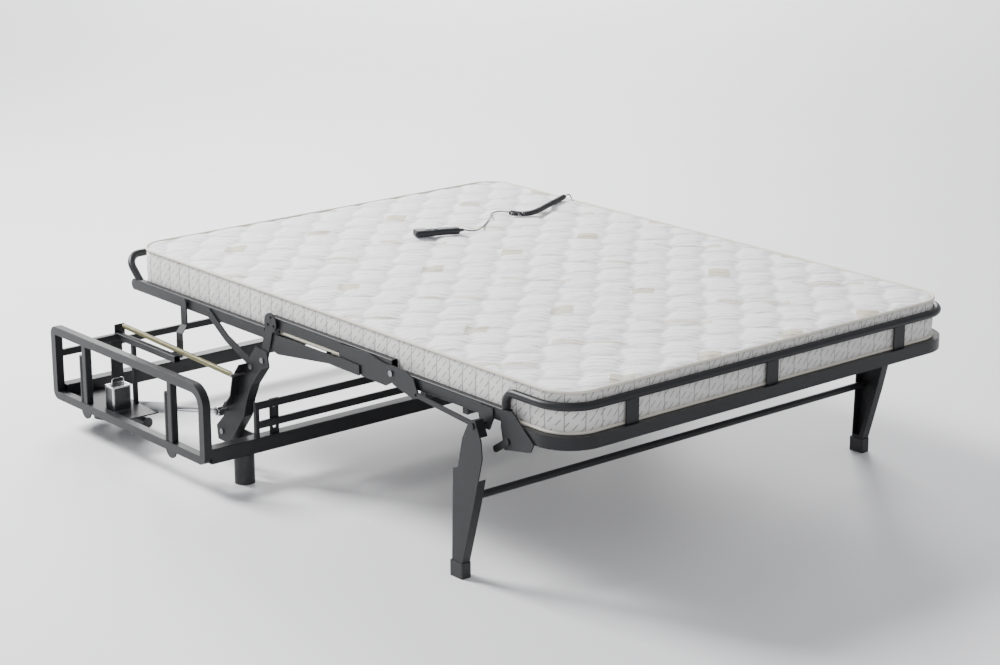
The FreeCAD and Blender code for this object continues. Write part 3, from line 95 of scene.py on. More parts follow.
class Shade:
    """A material under construction; its methods add nodes and give back their outputs."""

    def __init__(self, name, **inputs):
        self.material = bpy.data.materials.new(name)
        self.material.use_nodes = True
        self.tree = self.material.node_tree
        self.surface = self.tree.nodes["Principled BSDF"]
        self.finish(**inputs)

    def finish(self, **inputs):
        """Feed the surface's own inputs, whose names have underscores for spaces here."""
        for name, value in inputs.items():
            self.feed(self.surface.inputs[name.replace("_", " ")], value)

    def feed(self, socket, value):
        """Link an output to an input, or set the input's constant."""
        if isinstance(value, bpy.types.NodeSocket):
            self.tree.links.new(value, socket)
        elif isinstance(value, tuple) and len(value) == 3 and socket.type == "RGBA":
            socket.default_value = value + (1,)
        else:
            socket.default_value = value

    def node(self, kind, *values, **settings):
        """A node with its inputs fed in order."""
        node = self.tree.nodes.new("ShaderNode" + kind)
        for key, value in settings.items():
            setattr(node, key, value)
        for socket, value in zip(node.inputs, values):
            self.feed(socket, value)
        return node

    def math(self, operation, *values):
        """One math step."""
        return self.node("Math", *values, operation=operation).outputs[0]

    def place(self):
        """Where the point is on the bed, in metres."""
        return self.node("TexCoord").outputs["Object"]

    def noise(self, place, scale, detail=3.0, stretch=(1, 1, 1)):
        """Noise from 0 to 1 at a scale per metre, stretched along the axes."""
        spread = self.node("VectorMath", place, stretch, operation="MULTIPLY").outputs[0]
        noise = self.node("TexNoise", spread)
        noise.inputs["Scale"].default_value = scale
        noise.inputs["Detail"].default_value = detail
        return noise.outputs[0]

    def spread(self, value, low, high):
        """A value from 0 to 1 spread from low to high."""
        return self.node("MapRange", value, 0.0, 1.0, low, high).outputs[0]

    def mix(self, share, first, second):
        """A colour between two colours."""
        node = self.node("Mix", data_type="RGBA")
        self.feed(node.inputs[0], share)
        self.feed(node.inputs[6], first)
        self.feed(node.inputs[7], second)
        return node.outputs[2]

    def bump(self, height, distance, strength):
        """Feed a height to the surface's normal."""
        bump = self.node("Bump")
        self.feed(bump.inputs["Height"], height)
        bump.inputs["Distance"].default_value = distance
        bump.inputs["Strength"].default_value = strength
        self.tree.links.new(bump.outputs[0], self.surface.inputs["Normal"])


def mottled(name, grain, tones, roughness=None, relief=None, **inputs):
    """A material with one noise over it, which moves its colour between two tones.

    grain is the noise's scale, detail and stretch; roughness is what the noise gives at its
    ends; relief is the noise's height as a bump, in metres, and its strength.
    """
    shade = Shade(name, **inputs)
    noise = shade.noise(shade.place(), *grain)
    shade.finish(Base_Color=shade.mix(noise, *tones))
    if roughness:
        shade.finish(Roughness=shade.spread(noise, *roughness))
    if relief:
        shade.bump(noise, *relief)
    return shade


def spline_curve(name, points):
    """A curve object with one smooth open spline through its control points."""
    data = bpy.data.curves.new(name, "CURVE")
    data.dimensions = "3D"
    spline = data.splines.new("NURBS")
    spline.points.add(len(points) - 1)
    places = np.column_stack([points, np.ones(len(points))]).astype(np.float32)
    spline.points.foreach_set("co", places.ravel())
    spline.order_u = 3
    spline.use_endpoint_u = True
    return bpy.data.objects.new(name, data)


def points_along(curve, detail):
    """The points of a curve's own line, in order, with a number of steps to each control point."""
    curve.data.resolution_u = detail
    line = bpy.data.meshes.new_from_object(curve)
    places = np.empty(3 * len(line.vertices), dtype=np.float32)
    line.vertices.foreach_get("co", places)
    bpy.data.meshes.remove(line)
    return places.reshape(-1, 3).astype(float)


def coil_points(line):
    """The coil's turns round a line: centre + r (cos t * side + sin t * up).

    Over the first and last 24 mm the radius r grows smoothly from nothing, as 3 w^2 - 2 w^3, and
    the pitch shrinks from six times the coil's own, so that the wire never bends sharply there.
    The points are spaced evenly by the angle t.
    """
    run = np.concatenate([[0], np.cumsum(np.linalg.norm(np.diff(line, axis=0), axis=1))])
    fine_steps = 4000
    fine = np.linspace(0, run[-1], fine_steps)
    share = np.clip(np.minimum(fine, run[-1] - fine) / coil_ramp, 0, 1)
    grown = share ** 2 * (3 - 2 * share)
    rate = 2 * math.pi / (coil_pitch * (loose_turn - (loose_turn - 1) * grown))
    angle = np.concatenate([[0], np.cumsum((rate[1:] + rate[:-1]) / 2 * np.diff(fine))])
    turn = np.linspace(0, angle[-1], int(angle[-1] / 2 / math.pi * coil_turn_points))[1:-1]
    along = np.interp(turn, angle, fine)
    centre = np.stack([np.interp(along, run, line[:, axis]) for axis in range(3)], axis=1)
    ahead = np.gradient(centre, axis=0)
    upward = np.array([0, 0, 1.0])
    side = np.cross(ahead, upward)
    side /= np.linalg.norm(side, axis=1)[:, None]
    radius = coil_radius * np.interp(along, fine, grown)[:, None]
    return centre + radius * (np.cos(turn)[:, None] * side + np.sin(turn)[:, None] * upward)


cord_jacket = mottled("cord_jacket", (300.0,), ((0.008, 0.008, 0.009), (0.018, 0.018, 0.020)),
                      Roughness=0.42)
coil_turns = coil_points(points_along(spline_curve("coil_line", coil_route), 24))
cord = spline_curve("handset_cord",
                    np.concatenate([handset_wire[:-1], coil_turns, clip_wire[1:]])[::-1])
cord_line = points_along(cord, 6)
cord.data.resolution_u = 3
cord.data.bevel_depth = cord_radius
cord.data.bevel_resolution = 2
cord.data.use_fill_caps = True
cord.data.materials.append(cord_jacket.material)
scene.collection.objects.link(cord)
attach(cord, "head_section")
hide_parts("handset_cord_plain", "handset_cord_curly")

# ---------------------------------------------------------------- painted steelwork
# Base, arms, links, section frames, slats and legs are square tube, flat bar and plate, welded
# together and powder-coated charcoal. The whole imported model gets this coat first, and the
# parts of other stuff get their own finish in the sections below.
dark_steel = Shade("dark_steel", Specular_IOR_Level=0.32)
orange_peel = dark_steel.noise(dark_steel.place(), 700.0, 2.0)
dark_steel.finish(
    Base_Color=dark_steel.mix(dark_steel.noise(dark_steel.place(), 7.0),
                              (0.008, 0.0083, 0.0095), (0.014, 0.0145, 0.0165)),
    Roughness=dark_steel.spread(orange_peel, 0.34, 0.5))
dark_steel.bump(orange_peel, 0.0005, 0.35)


def coat(shade, *names):
    """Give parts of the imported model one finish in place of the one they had."""
    for name in names:
        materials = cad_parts[name].data.materials
        materials.clear()
        materials.append(shade.material)


coat(dark_steel, *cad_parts)

# ---------------------------------------------------------------- feet and leg shoes
# The base stands on round black rubber feet under its cross beams, and each leg of the foot
# end stands in a moulded shoe with a pocket that the leg is pushed into.
black_rubber = mottled("black_rubber", (90.0,), ((0.010, 0.010, 0.011), (0.024, 0.024, 0.025)),
                       relief=(0.0008, 0.3), Roughness=0.62)
coat(black_rubber, "base_feet", "leg_shoes")

# ---------------------------------------------------------------- pivot pins
# The pins of the drive arms, the rear links and the foot end are bare turned steel with round
# heads. They are put through the plates and riveted, and turning leaves fine rings on them.
pin_steel = mottled("pin_steel", (200.0, 3.0, (1, 6, 6)), ((0.16, 0.16, 0.17), (0.30, 0.30, 0.31)),
                    roughness=(0.25, 0.45), Metallic=0.9)
coat(pin_steel, "drive_arm_pins", "base_pivots", "foot_hinge_pins")

# ---------------------------------------------------------------- actuators
# On each side an electric actuator hangs on a pin under the tray and pushes the drive arm: a
# black plastic motor housing, a grey painted tube and a chromed rod that slides out of it.
black_plastic = mottled("black_plastic", (500.0, 1.0), ((0.012, 0.012, 0.013), (0.020, 0.020, 0.022)),
                        relief=(0.0004, 0.3), Roughness=0.4)
actuator_grey = mottled("actuator_grey", (120.0, 3.0, (6, 1, 6)),
                        ((0.30, 0.31, 0.32), (0.42, 0.43, 0.44)),
                        roughness=(0.3, 0.5), Metallic=0.15)
chrome_rod = mottled("chrome_rod", (80.0, 2.0, (8, 1, 8)), ((0.62, 0.62, 0.63), (0.80, 0.80, 0.81)),
                     roughness=(0.10, 0.22), Metallic=1.0)
coat(black_plastic, "actuator_motors")
coat(actuator_grey, "actuator_tubes")
coat(chrome_rod, "actuator_rods")

# ---------------------------------------------------------------- control box
# A small glossy black box with bright metal trim along its edges is screwed to the near tray.
# A handle of bent chromed rod is set in its lid.
edge_wide = 0.005
edged_box = Shade("edged_box", Roughness=0.25)
box_place = edged_box.node("SeparateXYZ", edged_box.place())

# A point of the skin is on an edge when it is that close to two of the box's sides.
sides_met = 0.0
for axis, (low, high) in enumerate(zip(*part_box("control_box"))):
    off_middle = edged_box.math("ABSOLUTE", edged_box.math(
        "SUBTRACT", box_place.outputs[axis], (low + high) / 2))
    sides_met = edged_box.math("ADD", sides_met, edged_box.math(
        "GREATER_THAN", off_middle, (high - low) / 2 - edge_wide))
on_edge = edged_box.math("GREATER_THAN", sides_met, 1.5)
smudged_black = edged_box.mix(edged_box.noise(edged_box.place(), 30.0),
                              (0.012, 0.012, 0.014), (0.030, 0.030, 0.034))
edged_box.finish(Base_Color=edged_box.mix(on_edge, smudged_black, (0.62, 0.62, 0.64)),
                 Metallic=on_edge)
coat(edged_box, "control_box")
coat(chrome_rod, "control_box_handle")

# ---------------------------------------------------------------- long springs
# Two long tension springs of khaki lacquered wire help to lift the bed. Each is hooked on a
# corner rail and on a drive arm, and narrows to its middle line at both ends for the hooks.
spring_low, spring_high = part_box("long_springs")
spring_radius, spring_wire, spring_pitch = 0.008, 0.0014, 0.0042
hook_radius, hook_run = 0.002, 0.014
spring_turn_points = 12
spring_x, spring_inset = spring_high.x - spring_radius, 0.0015
front_hook_high, rear_hook_high = 0.305, 0.322
spring_front = np.array([spring_x, spring_low.y + spring_inset, front_hook_high])
spring_rear = np.array([spring_x, spring_high.y - spring_inset, rear_hook_high])
khaki_spring = mottled("khaki_spring", (60.0,), ((0.20, 0.19, 0.10), (0.36, 0.34, 0.20)),
                       Roughness=0.4, Metallic=0.35)


def mesh_piece(name, points, faces, materials, slots=None, smooth_below=60):
    """A mesh object from points and faces, its edges sharp where they turn by more than an angle."""
    mesh = bpy.data.meshes.new(name)
    mesh.from_pydata(points, [], faces)
    for material in materials:
        mesh.materials.append(material)
    if slots is not None:
        mesh.polygons.foreach_set("material_index", np.asarray(slots, dtype=np.int32))
    mesh.polygons.foreach_set("use_smooth", np.ones(len(mesh.polygons), dtype=bool))
    mesh.set_sharp_from_angle(angle=math.radians(smooth_below))
    mesh.update()
    piece = bpy.data.objects.new(name, mesh)
    scene.collection.objects.link(piece)
    return piece


def tube(path, radius, sides=8, pole=(0, 0, 1.0)):
    """Points and faces of a round tube with flat ends along a path that never follows the pole.

    Each ring lies in the plane square to the path: centre + r (cos a * side + sin a * up),
    where side is square to the path and to the pole.
    """
    ahead = np.gradient(path, axis=0)
    ahead /= np.linalg.norm(ahead, axis=1)[:, None]
    side = np.cross(ahead, pole)
    side /= np.linalg.norm(side, axis=1)[:, None]
    up = np.cross(side, ahead)
    turn = np.arange(sides) * 2 * math.pi / sides
    rings = (path[:, None] + radius * (np.cos(turn)[None, :, None] * side[:, None]
                                       + np.sin(turn)[None, :, None] * up[:, None]))
    index = np.arange(len(path) * sides).reshape(-1, sides)
    after = np.roll(index, -1, axis=1)
    squares = np.stack([index[:-1], index[1:], after[1:], after[:-1]], axis=-1)
    return rings.reshape(-1, 3), [*squares.reshape(-1, 4), index[0], index[-1, ::-1]]


def spring_line(front, rear):
    """The wire's line, and its direction: a helix round the run from front to rear.

    A point at the distance s has turned by 2 pi s / pitch. The radius grows evenly from 2 mm
    at each end to the full coil over 14 mm.
    """
    length = np.linalg.norm(rear - front)
    ahead = (rear - front) / length
    side = np.array([1.0, 0, 0])
    up = np.cross(side, ahead)
    along = np.linspace(0, length, int(length / spring_pitch * spring_turn_points))
    radius = hook_radius + (spring_radius - spring_wire - hook_radius) * np.clip(
        np.minimum(along, length - along) / hook_run, 0, 1)
    angle = along / spring_pitch * 2 * math.pi
    return (front + along[:, None] * ahead + radius[:, None]
            * (np.cos(angle)[:, None] * side + np.sin(angle)[:, None] * up)), ahead


spring_wire_line, spring_ahead = spring_line(spring_front, spring_rear)
spring_skin, spring_faces = tube(spring_wire_line, spring_wire, 6, pole=spring_ahead)
mirrored_skin = spring_skin * np.array([-1.0, 1, 1])
mirrored_faces = [face[::-1] + len(spring_skin) for face in spring_faces]
springs = mesh_piece("long_spring_coils", np.concatenate([spring_skin, mirrored_skin]),
                     spring_faces + mirrored_faces, [khaki_spring.material])
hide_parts("long_springs")
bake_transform(springs)

# ---------------------------------------------------------------- spring rods
# A straight rod in cream enamel lies under each side rail of the middle section, between its
# link bar and its knob arm.
cream_rod = mottled("cream_rod", (25.0,), ((0.56, 0.53, 0.40), (0.70, 0.66, 0.52)), Roughness=0.35)
coat(cream_rod, "mid_spring_rods")

# ---------------------------------------------------------------- mattress
# One stuffed pad rests on the slats: white quilted cotton with woven beige motifs on top, a
# bulging border of grey ticking, and cream piping sewn round both edges. It is made in two
# halves that meet on the middle section.
head_high, foot_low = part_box("mattress_head")[1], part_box("mattress_foot")[0]
half_width, corner = head_high.x, 0.090
bed_foot, bed_head = foot_low.y, head_high.y
bed_middle, half_length = (bed_foot + bed_head) / 2, (bed_head - bed_foot) / 2
halves_meet = (mattress_low.y + mattress_high.y) / 2
under = mattress_low.z
row_step, column_count = 0.0075, 187
edge_drop, edge_reach, unsewn_share = 0.009, 0.035, 0.05
rim_lift, rim_reach, under_gap = 0.006, 0.020, 0.0005
border_levels, border_tall, border_swell = 10, 0.12, 0.004
stitch_pitch, stitch_pull, stitch_reach = 0.052, 0.0016, 0.005
piping_radius, piping_out, piping_up, piping_down = 0.0042, 0.002, 0.0012, 0.0005
column_wide, cell_long = 0.100, 0.143
motif_across, motif_along = 0.30, 0.56
dash_slant, dash_long, dash_gap = -0.75, 0.036, 0.35
cotton_tones = (0.84, 0.835, 0.85), (0.89, 0.885, 0.90)
beige_thread, seam_shadow = (0.47, 0.40, 0.22), (0.42, 0.42, 0.45)
ticking_tones = (0.60, 0.585, 0.56), (0.70, 0.69, 0.665)
grey_thread = (0.16, 0.155, 0.16)

quilted_top = Shade("quilted_top", Roughness=0.86, Sheen_Weight=0.25, Sheen_Roughness=0.5)
on_bed = quilted_top.place()
across_bed, along_bed, _ = quilted_top.node("SeparateXYZ", on_bed).outputs


def motif_mask(shift_x, shift_y, wide, long):
    """1 inside a patch turned by 45 degrees in the middle of each cell of a lattice, otherwise 0.

    With dx and dy measured from the middle of a cell of 0.30 by 0.56 m, the patch is where
    |dx - dy| / root 2 < wide / 2 and |dx + dy| / root 2 < long / 2.
    """
    offsets = []
    for place, pitch, shift in ((across_bed, motif_across, shift_x),
                                (along_bed, motif_along, shift_y)):
        cell = quilted_top.math("FRACT", quilted_top.math("MULTIPLY_ADD", place, 1 / pitch, shift))
        offsets.append(quilted_top.math("MULTIPLY", quilted_top.math("SUBTRACT", cell, 0.5),
                                        pitch / math.sqrt(2)))
    first = quilted_top.math("ABSOLUTE", quilted_top.math("SUBTRACT", *offsets))
    second = quilted_top.math("ABSOLUTE", quilted_top.math("ADD", *offsets))
    return quilted_top.math("MULTIPLY", quilted_top.math("LESS_THAN", first, wide / 2),
                            quilted_top.math("LESS_THAN", second, long / 2))


# The motifs are square patches, and strips in which the beige thread comes and goes in loops.
patch = motif_mask(0.18, 0.30, 0.062, 0.070)
strip = motif_mask(0.68, 0.80, 0.200, 0.030)
weave = quilted_top.noise(on_bed, 260.0, 2.0)
thread_loops = quilted_top.node("TexWave", on_bed, wave_type="BANDS", bands_direction="DIAGONAL")
thread_loops.inputs["Scale"].default_value = 22.0
thread_loops.inputs["Distortion"].default_value = 14.0
thread_loops.inputs["Detail Scale"].default_value = 9.0
thread_shows = quilted_top.math("GREATER_THAN", thread_loops.outputs["Fac"], 0.42)
strip = quilted_top.math("MULTIPLY", strip, quilted_top.spread(thread_shows, 0.3, 1.0))
motifs = quilted_top.math("MULTIPLY", quilted_top.math("MAXIMUM", patch, strip),
                          quilted_top.spread(weave, 0.45, 1.0))
cotton = quilted_top.mix(quilted_top.noise(on_bed, 3.0), *cotton_tones)

# Painted shade greys the cover deep in its seams, where it dips, and fine wrinkles run aslant over
# it.
puffed = quilted_top.node("Attribute", attribute_name="puffed").outputs["Fac"]
in_seam = quilted_top.math("POWER", quilted_top.math("SUBTRACT", 1.0, puffed), 3.0)
quilted_top.finish(Base_Color=quilted_top.mix(
    quilted_top.math("MULTIPLY", in_seam, 0.55),
    quilted_top.mix(motifs, cotton, beige_thread), seam_shadow))
slanting = quilted_top.node("VectorRotate", on_bed, rotation_type="Z_AXIS")
slanting.inputs["Angle"].default_value = math.radians(38)
wrinkles = quilted_top.noise(slanting.outputs[0], 13.0, 4.0, (1, 5, 1))
quilted_top.bump(quilted_top.math("ADD", wrinkles, quilted_top.math("MULTIPLY", weave, 0.05)),
                 0.016, 0.8)

# The border has a stitched line at each pull, and rows of slanting dashes between the lines.
border_ticking = Shade("border_ticking", Roughness=0.82, Sheen_Weight=0.2)
wall_place = border_ticking.node("UVMap", uv_map="wall").outputs[0]
around_bed, up_border, _ = border_ticking.node("SeparateXYZ", wall_place).outputs


def stripe_mask(place, pitch, share):
    """1 in a stripe in the middle of each pitch, wide by twice the share of it, otherwise 0."""
    cell = border_ticking.math("FRACT", border_ticking.math("MULTIPLY", place, 1 / pitch))
    return border_ticking.math("LESS_THAN", border_ticking.math(
        "ABSOLUTE", border_ticking.math("SUBTRACT", cell, 0.5)), share)


stitched_line = stripe_mask(around_bed, stitch_pitch, 0.026)
slant = border_ticking.math("MULTIPLY_ADD", up_border, dash_slant, around_bed)
stroke = stripe_mask(slant, stitch_pitch / 2, 0.075)
dash = border_ticking.math("GREATER_THAN", border_ticking.math("FRACT", border_ticking.math(
    "MULTIPLY_ADD", up_border, 1 / dash_long, border_ticking.math("MULTIPLY", around_bed, 9.0))),
    dash_gap)
speckle = border_ticking.noise(border_ticking.place(), 420.0, 2.0)
stitching = border_ticking.math("MAXIMUM", stitched_line,
                                border_ticking.math("MULTIPLY", stroke, dash))
border_ticking.finish(Base_Color=border_ticking.mix(
    border_ticking.math("MULTIPLY", stitching, border_ticking.spread(speckle, 0.5, 1.0)),
    border_ticking.mix(speckle, *ticking_tones), grey_thread))
border_ticking.bump(border_ticking.math(
    "SUBTRACT", border_ticking.math("MULTIPLY", speckle, 0.25), stitching), 0.0012, 0.6)

cream_piping = mottled("cream_piping", (500.0, 2.0), ((0.60, 0.57, 0.48), (0.70, 0.67, 0.58)),
                       relief=(0.0008, 0.5), Roughness=0.75)


def edge_distance(x, y):
    """How far a point is inside the outline, a rectangle with its corners rounded to a radius.

    qx and qy are how far the point is past the rectangle that is one radius smaller all round.
    The distance is the radius less hypot(qx, qy) over positive parts, less max(qx, qy) if that
    is negative.
    """
    qx = np.abs(x) - (half_width - corner)
    qy = np.abs(y - bed_middle) - (half_length - corner)
    outside = np.hypot(np.maximum(qx, 0), np.maximum(qy, 0))
    return corner - outside - np.minimum(np.maximum(qx, qy), 0)


def pillow(distance, reach):
    """The rise of a stuffed cover from a seam: 1 - (1 - d / reach)^2.4, flat beyond reach."""
    return 1 - np.clip(1 - distance / reach, 0, 1) ** 2.4


def quilt(x, y):
    """Height of the quilted top over its seams, from 0 to 1.

    Long wavy seams run along p = (x + y) / root 2, a column apart in q = (x - y) / root 2. In
    each column arched cross seams follow at an even pitch, half a pitch later in the next.
    The height is the product of the rises from the nearest long seam and cross seam.
    """
    wave, drift, arch_rise = 0.007, 0.004, 0.012
    long_seam_reach, cross_seam_reach = 0.042, 0.050
    p, q = (x + y) / math.sqrt(2), (x - y) / math.sqrt(2)
    wavy_q = q + wave * np.sin(2 * math.pi * p / cell_long) + drift * np.sin(7 * p + 2 * q)
    column = np.round(wavy_q / column_wide)
    off_middle = wavy_q - column * column_wide
    to_long_seam = column_wide / 2 - np.abs(off_middle)
    arch = arch_rise * (1 - (2 * off_middle / column_wide) ** 2)
    cell = (p + arch) / cell_long + 0.5 * (column % 2)
    to_cross_seam = np.abs(cell % 1 - 0.5) * cell_long
    return pillow(to_long_seam, long_seam_reach) * pillow(to_cross_seam, cross_seam_reach)


def mattress_rows(start, stop):
    """Places of the grid rows: even in the middle, and by equal turns round a corner.

    Within a corner at distance e from the end, e = corner (1 - cos t) for t from 0 to 90 degrees.
    """
    bend = corner * (1 - np.cos(np.radians(np.arange(0, 90, 6))))
    low = bed_foot + bend if start == bed_foot else np.array([])
    high = (bed_head - bend)[::-1] if stop == bed_head else np.array([])
    first = bed_foot + corner if len(low) else start
    last = bed_head - corner if len(high) else stop
    return np.concatenate([low, np.linspace(first, last, int((last - first) / row_step)), high])


def outward_normals(rim):
    """Level unit normals of a rim that runs round one half, and which of its points are inside.

    A normal is square to the line between a point's two neighbours. Where the halves meet, the
    two outer points face straight out sideways, and the points inside the pad have none.
    """
    ahead = np.roll(rim, -1, axis=0) - np.roll(rim, 1, axis=0)
    outward = np.stack([ahead[:, 1], -ahead[:, 0], np.zeros(len(rim))], axis=1)
    outward /= np.linalg.norm(outward, axis=1)[:, None]
    hair = 1e-6
    on_seam = np.abs(rim[:, 1] - halves_meet) < hair
    outward[on_seam] = np.sign(rim[on_seam, :1]) * np.array([1.0, 0, 0])
    within = on_seam & (np.abs(rim[:, 0]) < half_width - hair)
    outward[within] = 0
    return outward, within


def half_mattress(name, start, stop):
    """One half of the mattress between two places along the bed, closed, with its piping.

    The top is a grid as wide as the outline, 9 mm lower in a seam than where it is stuffed. The
    underside is the same grid, flat, and turned up by 6 mm at its rim. Between their rims, at
    the share s of its height, the border stands out by 4 mm sin(pi s)^0.6, less 1.6 mm
    sin(pi s) at each stitched line. A round tube along each rim is the piping.
    """
    rows = mattress_rows(start, stop)
    to_end = np.minimum(rows - bed_foot, bed_head - rows)
    bend = np.clip(corner - to_end, 0, corner)
    row_half = half_width - corner + np.sqrt(corner ** 2 - bend ** 2)
    x = np.linspace(-1, 1, column_count)[None, :] * row_half[:, None]
    y = np.repeat(rows[:, None], column_count, axis=1)
    inside = np.maximum(edge_distance(x, y), 0)
    off_edge = pillow(inside, edge_reach)
    stuffed = quilt(x, y) * off_edge
    top = bed_top - edge_drop + edge_drop * (unsewn_share * off_edge + (1 - unsewn_share) * stuffed)
    bottom = under + under_gap + rim_lift * (1 - pillow(inside, rim_reach))
    top_points = np.stack([x, y, top], axis=-1).reshape(-1, 3)
    bottom_points = np.stack([x, y, bottom], axis=-1).reshape(-1, 3)
    size = x.size
    index = np.arange(size).reshape(x.shape)
    squares = np.stack([index[:-1, :-1], index[:-1, 1:], index[1:, 1:], index[1:, :-1]],
                       axis=-1).reshape(-1, 4)

    loop = np.concatenate([index[0, :-1], index[:-1, -1], index[-1, :0:-1], index[:0:-1, 0]])
    rim = top_points[loop]
    outward, within = outward_normals(rim)
    step = np.linalg.norm(np.roll(rim, -1, axis=0) - rim, axis=1)
    around = np.concatenate([[0], np.cumsum(step)])
    to_stitch = np.abs((around[:-1] / stitch_pitch) % 1 - 0.5) * stitch_pitch
    pulled = stitch_pull * np.exp(-(to_stitch / stitch_reach) ** 2)
    share = np.arange(1, border_levels)[:, None] / border_levels
    swell = border_swell * np.sin(math.pi * share) ** 0.6 - pulled * np.sin(math.pi * share)
    rings = rim + outward * swell[..., None]
    rings[..., 2] = rim[:, 2] + share * (bottom_points[loop, 2] - rim[:, 2])
    ring_index = 2 * size + np.arange(swell.size).reshape(swell.shape)
    wall = np.concatenate([loop[None], ring_index, loop[None] + size])
    after = np.roll(wall, -1, axis=1)
    bands = np.stack([wall[:-1], wall[1:], after[1:], after[:-1]], axis=-1).reshape(-1, 4)

    points = [top_points, bottom_points, rings.reshape(-1, 3)]
    faces = [*squares, *(squares[:, ::-1] + size), *bands]
    slots = [0] * len(squares) + [1] * (len(squares) + len(bands))
    outer = np.flatnonzero(~within)
    gap = np.flatnonzero(np.diff(outer) > 1)[0]
    path = np.roll(outer, -(gap + 1))
    for edge, lift in ((top_points[loop], piping_up), (bottom_points[loop], -piping_down)):
        line = edge[path] + outward[path] * piping_out + np.array([0, 0, lift])
        piping_points, piping_faces = tube(line, piping_radius)
        count = sum(len(part) for part in points)
        faces += [face + count for face in piping_faces]
        slots += [2] * len(piping_faces)
        points.append(piping_points)
    piece = mesh_piece(name, np.concatenate(points), faces,
                       [quilted_top.material, border_ticking.material, cream_piping.material],
                       slots, smooth_below=70)

    # The border's own coordinates: metres round the bed, fitted to whole stitches, and metres up.
    fitted = around / around[-1] * round(around[-1] / stitch_pitch) * stitch_pitch
    heights = border_tall * (1 - np.arange(border_levels + 1) / border_levels)
    corners = np.empty((border_levels, len(loop), 4, 2))
    corners[..., 0] = np.stack([fitted[:-1], fitted[:-1], fitted[1:], fitted[1:]], axis=-1)
    corners[..., 1] = np.stack([heights[:-1], heights[1:], heights[1:], heights[:-1]],
                               axis=-1)[:, None]
    wall_places = np.zeros((len(piece.data.loops), 2), dtype=np.float32)
    first = piece.data.polygons[2 * len(squares)].loop_start
    wall_places[first:first + bands.size] = corners.reshape(-1, 2)
    piece.data.uv_layers.new(name="wall").data.foreach_set("uv", wall_places.ravel())
    # The top's stuffed height is kept on its points, and the cover paints shade in its seams from it.
    puffed_up = np.ones(len(piece.data.vertices), dtype=np.float32)
    puffed_up[:size] = stuffed.ravel()
    piece.data.attributes.new("puffed", "FLOAT", "POINT").data.foreach_set("value", puffed_up)
    return piece


mattress_rear = half_mattress("mattress_rear_half", halves_meet, bed_head)
mattress_front = half_mattress("mattress_front_half", bed_foot, halves_meet)
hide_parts("mattress_head", "mattress_head_fold", "mattress_mid")
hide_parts("mattress_foot", "mattress_foot_fold")
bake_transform(mattress_rear)
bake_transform(mattress_front)

# ---------------------------------------------------------------- handset
# A slim moulded shell of charcoal plastic, wider at the head where its two grey keys are, lies
# turned on the mattress. Its cord enters through a black gland, and a black clip holds the
# cord's other end on the rail.
handset_low, handset_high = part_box("handset_body")
handset_half, handset_thick = 0.070, 0.0215
head_half_wide, grip_narrower = 0.023, 0.005
neck_place, neck_run = -0.004, 0.006
end_run, end_fall = 0.010, 0.30
squareness = 3.2
ring_count, ring_size = 48, 40
handset_turn = math.radians(-23.7)
handset_along = np.array([math.cos(handset_turn), math.sin(handset_turn), 0])
handset_across = np.array([-handset_along[1], handset_along[0], 0])
handset_middle = np.array([(handset_low.x + handset_high.x) / 2, (handset_low.y + handset_high.y) / 2,
                           handset_low.z + handset_thick / 2])
handset_plastic = mottled("handset_plastic", (900.0, 1.0),
                          ((0.010, 0.0105, 0.012), (0.017, 0.018, 0.020)),
                          relief=(0.0004, 0.4), Roughness=0.5, Specular_IOR_Level=0.28)
handset_keys = mottled("handset_keys", (400.0,), ((0.40, 0.41, 0.43), (0.52, 0.53, 0.55)),
                       Roughness=0.45)


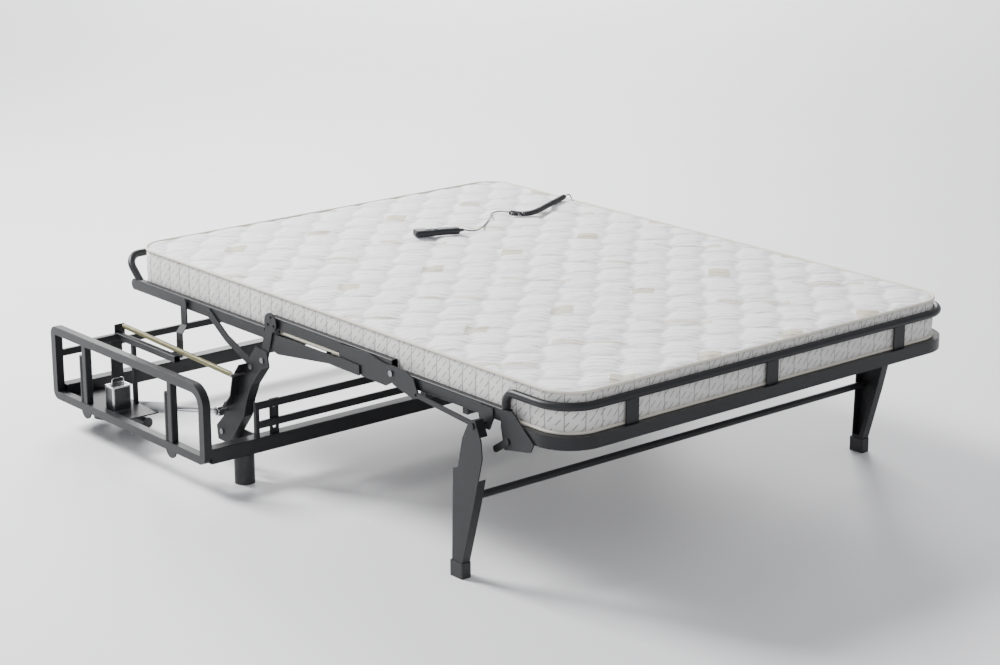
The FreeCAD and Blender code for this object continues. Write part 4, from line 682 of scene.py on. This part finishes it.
def shell_points(place, turn):
    """The shell over places along it and turns round it: a superellipse of order 3.2.

    |a / w|^3.2 + |b / h|^3.2 = 1, with a across and b up. The half width w falls smoothly from
    the head to the grip, and both ends round off to seven tenths of it over the last 10 mm.
    """
    grip = 1 / (1 + np.exp(-(place - neck_place) / neck_run))
    near_end = np.maximum(0.0, 1 - (handset_half - np.abs(place)) / end_run)
    ending = 1 - end_fall * (1 - np.sqrt(1 - near_end ** 2))
    half_wide = (head_half_wide - grip_narrower * grip) * ending
    half_tall = handset_thick / 2 * ending
    power = 2 / squareness
    wide = half_wide[:, None] * np.sign(np.cos(turn)) * np.abs(np.cos(turn)) ** power
    tall = half_tall[:, None] * np.sign(np.sin(turn)) * np.abs(np.sin(turn)) ** power
    return (handset_middle + place[:, None, None] * handset_along
            + wide[..., None] * handset_across + tall[..., None] * np.array([0, 0, 1.0]))


shell = shell_points(handset_half * np.sin(np.linspace(-math.pi / 2, math.pi / 2, ring_count)),
                     np.linspace(0, 2 * math.pi, ring_size, endpoint=False))
shell_index = np.arange(ring_count * ring_size).reshape(ring_count, ring_size)
shell_after = np.roll(shell_index, -1, axis=1)
shell_squares = np.stack([shell_index[:-1], shell_after[:-1], shell_after[1:], shell_index[1:]],
                         axis=-1).reshape(-1, 4)
handset = mesh_piece("handset_shell", shell.reshape(-1, 3),
                     [shell_index[0, ::-1], shell_index[-1], *shell_squares],
                     [handset_plastic.material], smooth_below=50)
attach(handset, "head_section")
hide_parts("handset_body")
coat(handset_keys, "handset_up_key", "handset_down_key")
coat(black_plastic, "handset_gland", "cord_clip")

# ---------------------------------------------------------------- floor and light
# A pale grey studio floor runs out of view. A large soft light behind the head end on the
# left throws a soft shadow forward and to the right.
studio_floor = mottled("studio_floor", (1.2, 5.0), ((0.74, 0.745, 0.755), (0.79, 0.792, 0.80)),
                       Roughness=0.55)
floor = mesh_piece("studio_floor", [(-40, -40, 0), (40, -40, 0), (40, 40, 0), (-40, 40, 0)],
                   [(0, 1, 2, 3)], [studio_floor.material])


def soft_light(name, place, aim, size, power):
    """A square area light at a place, turned towards a point."""
    light = bpy.data.objects.new(name, bpy.data.lights.new(name, "AREA"))
    light.data.size = size
    light.data.energy = power
    light.location = place
    light.rotation_euler = (Vector(aim) - Vector(place)).to_track_quat("-Z", "Y").to_euler()
    scene.collection.objects.link(light)


soft_light("key_light", (-2.4, 4.6, 4.8), (0.2, -0.2, 0.4), 2.2, 1050)
soft_light("fill_light", (-5.0, -3.5, 3.0), (0, 0, 0.4), 3.0, 60)
soft_light("back_light", (7.5, 9.5, 6.0), (4.0, 5.0, 0.0), 6.0, 1700)
world = bpy.data.worlds.new("studio")
world.use_nodes = True
sky = world.node_tree.nodes["Background"]
sky.inputs["Color"].default_value = (0.94, 0.95, 1.0, 1)
sky.inputs["Strength"].default_value = 0.75
scene.world = world
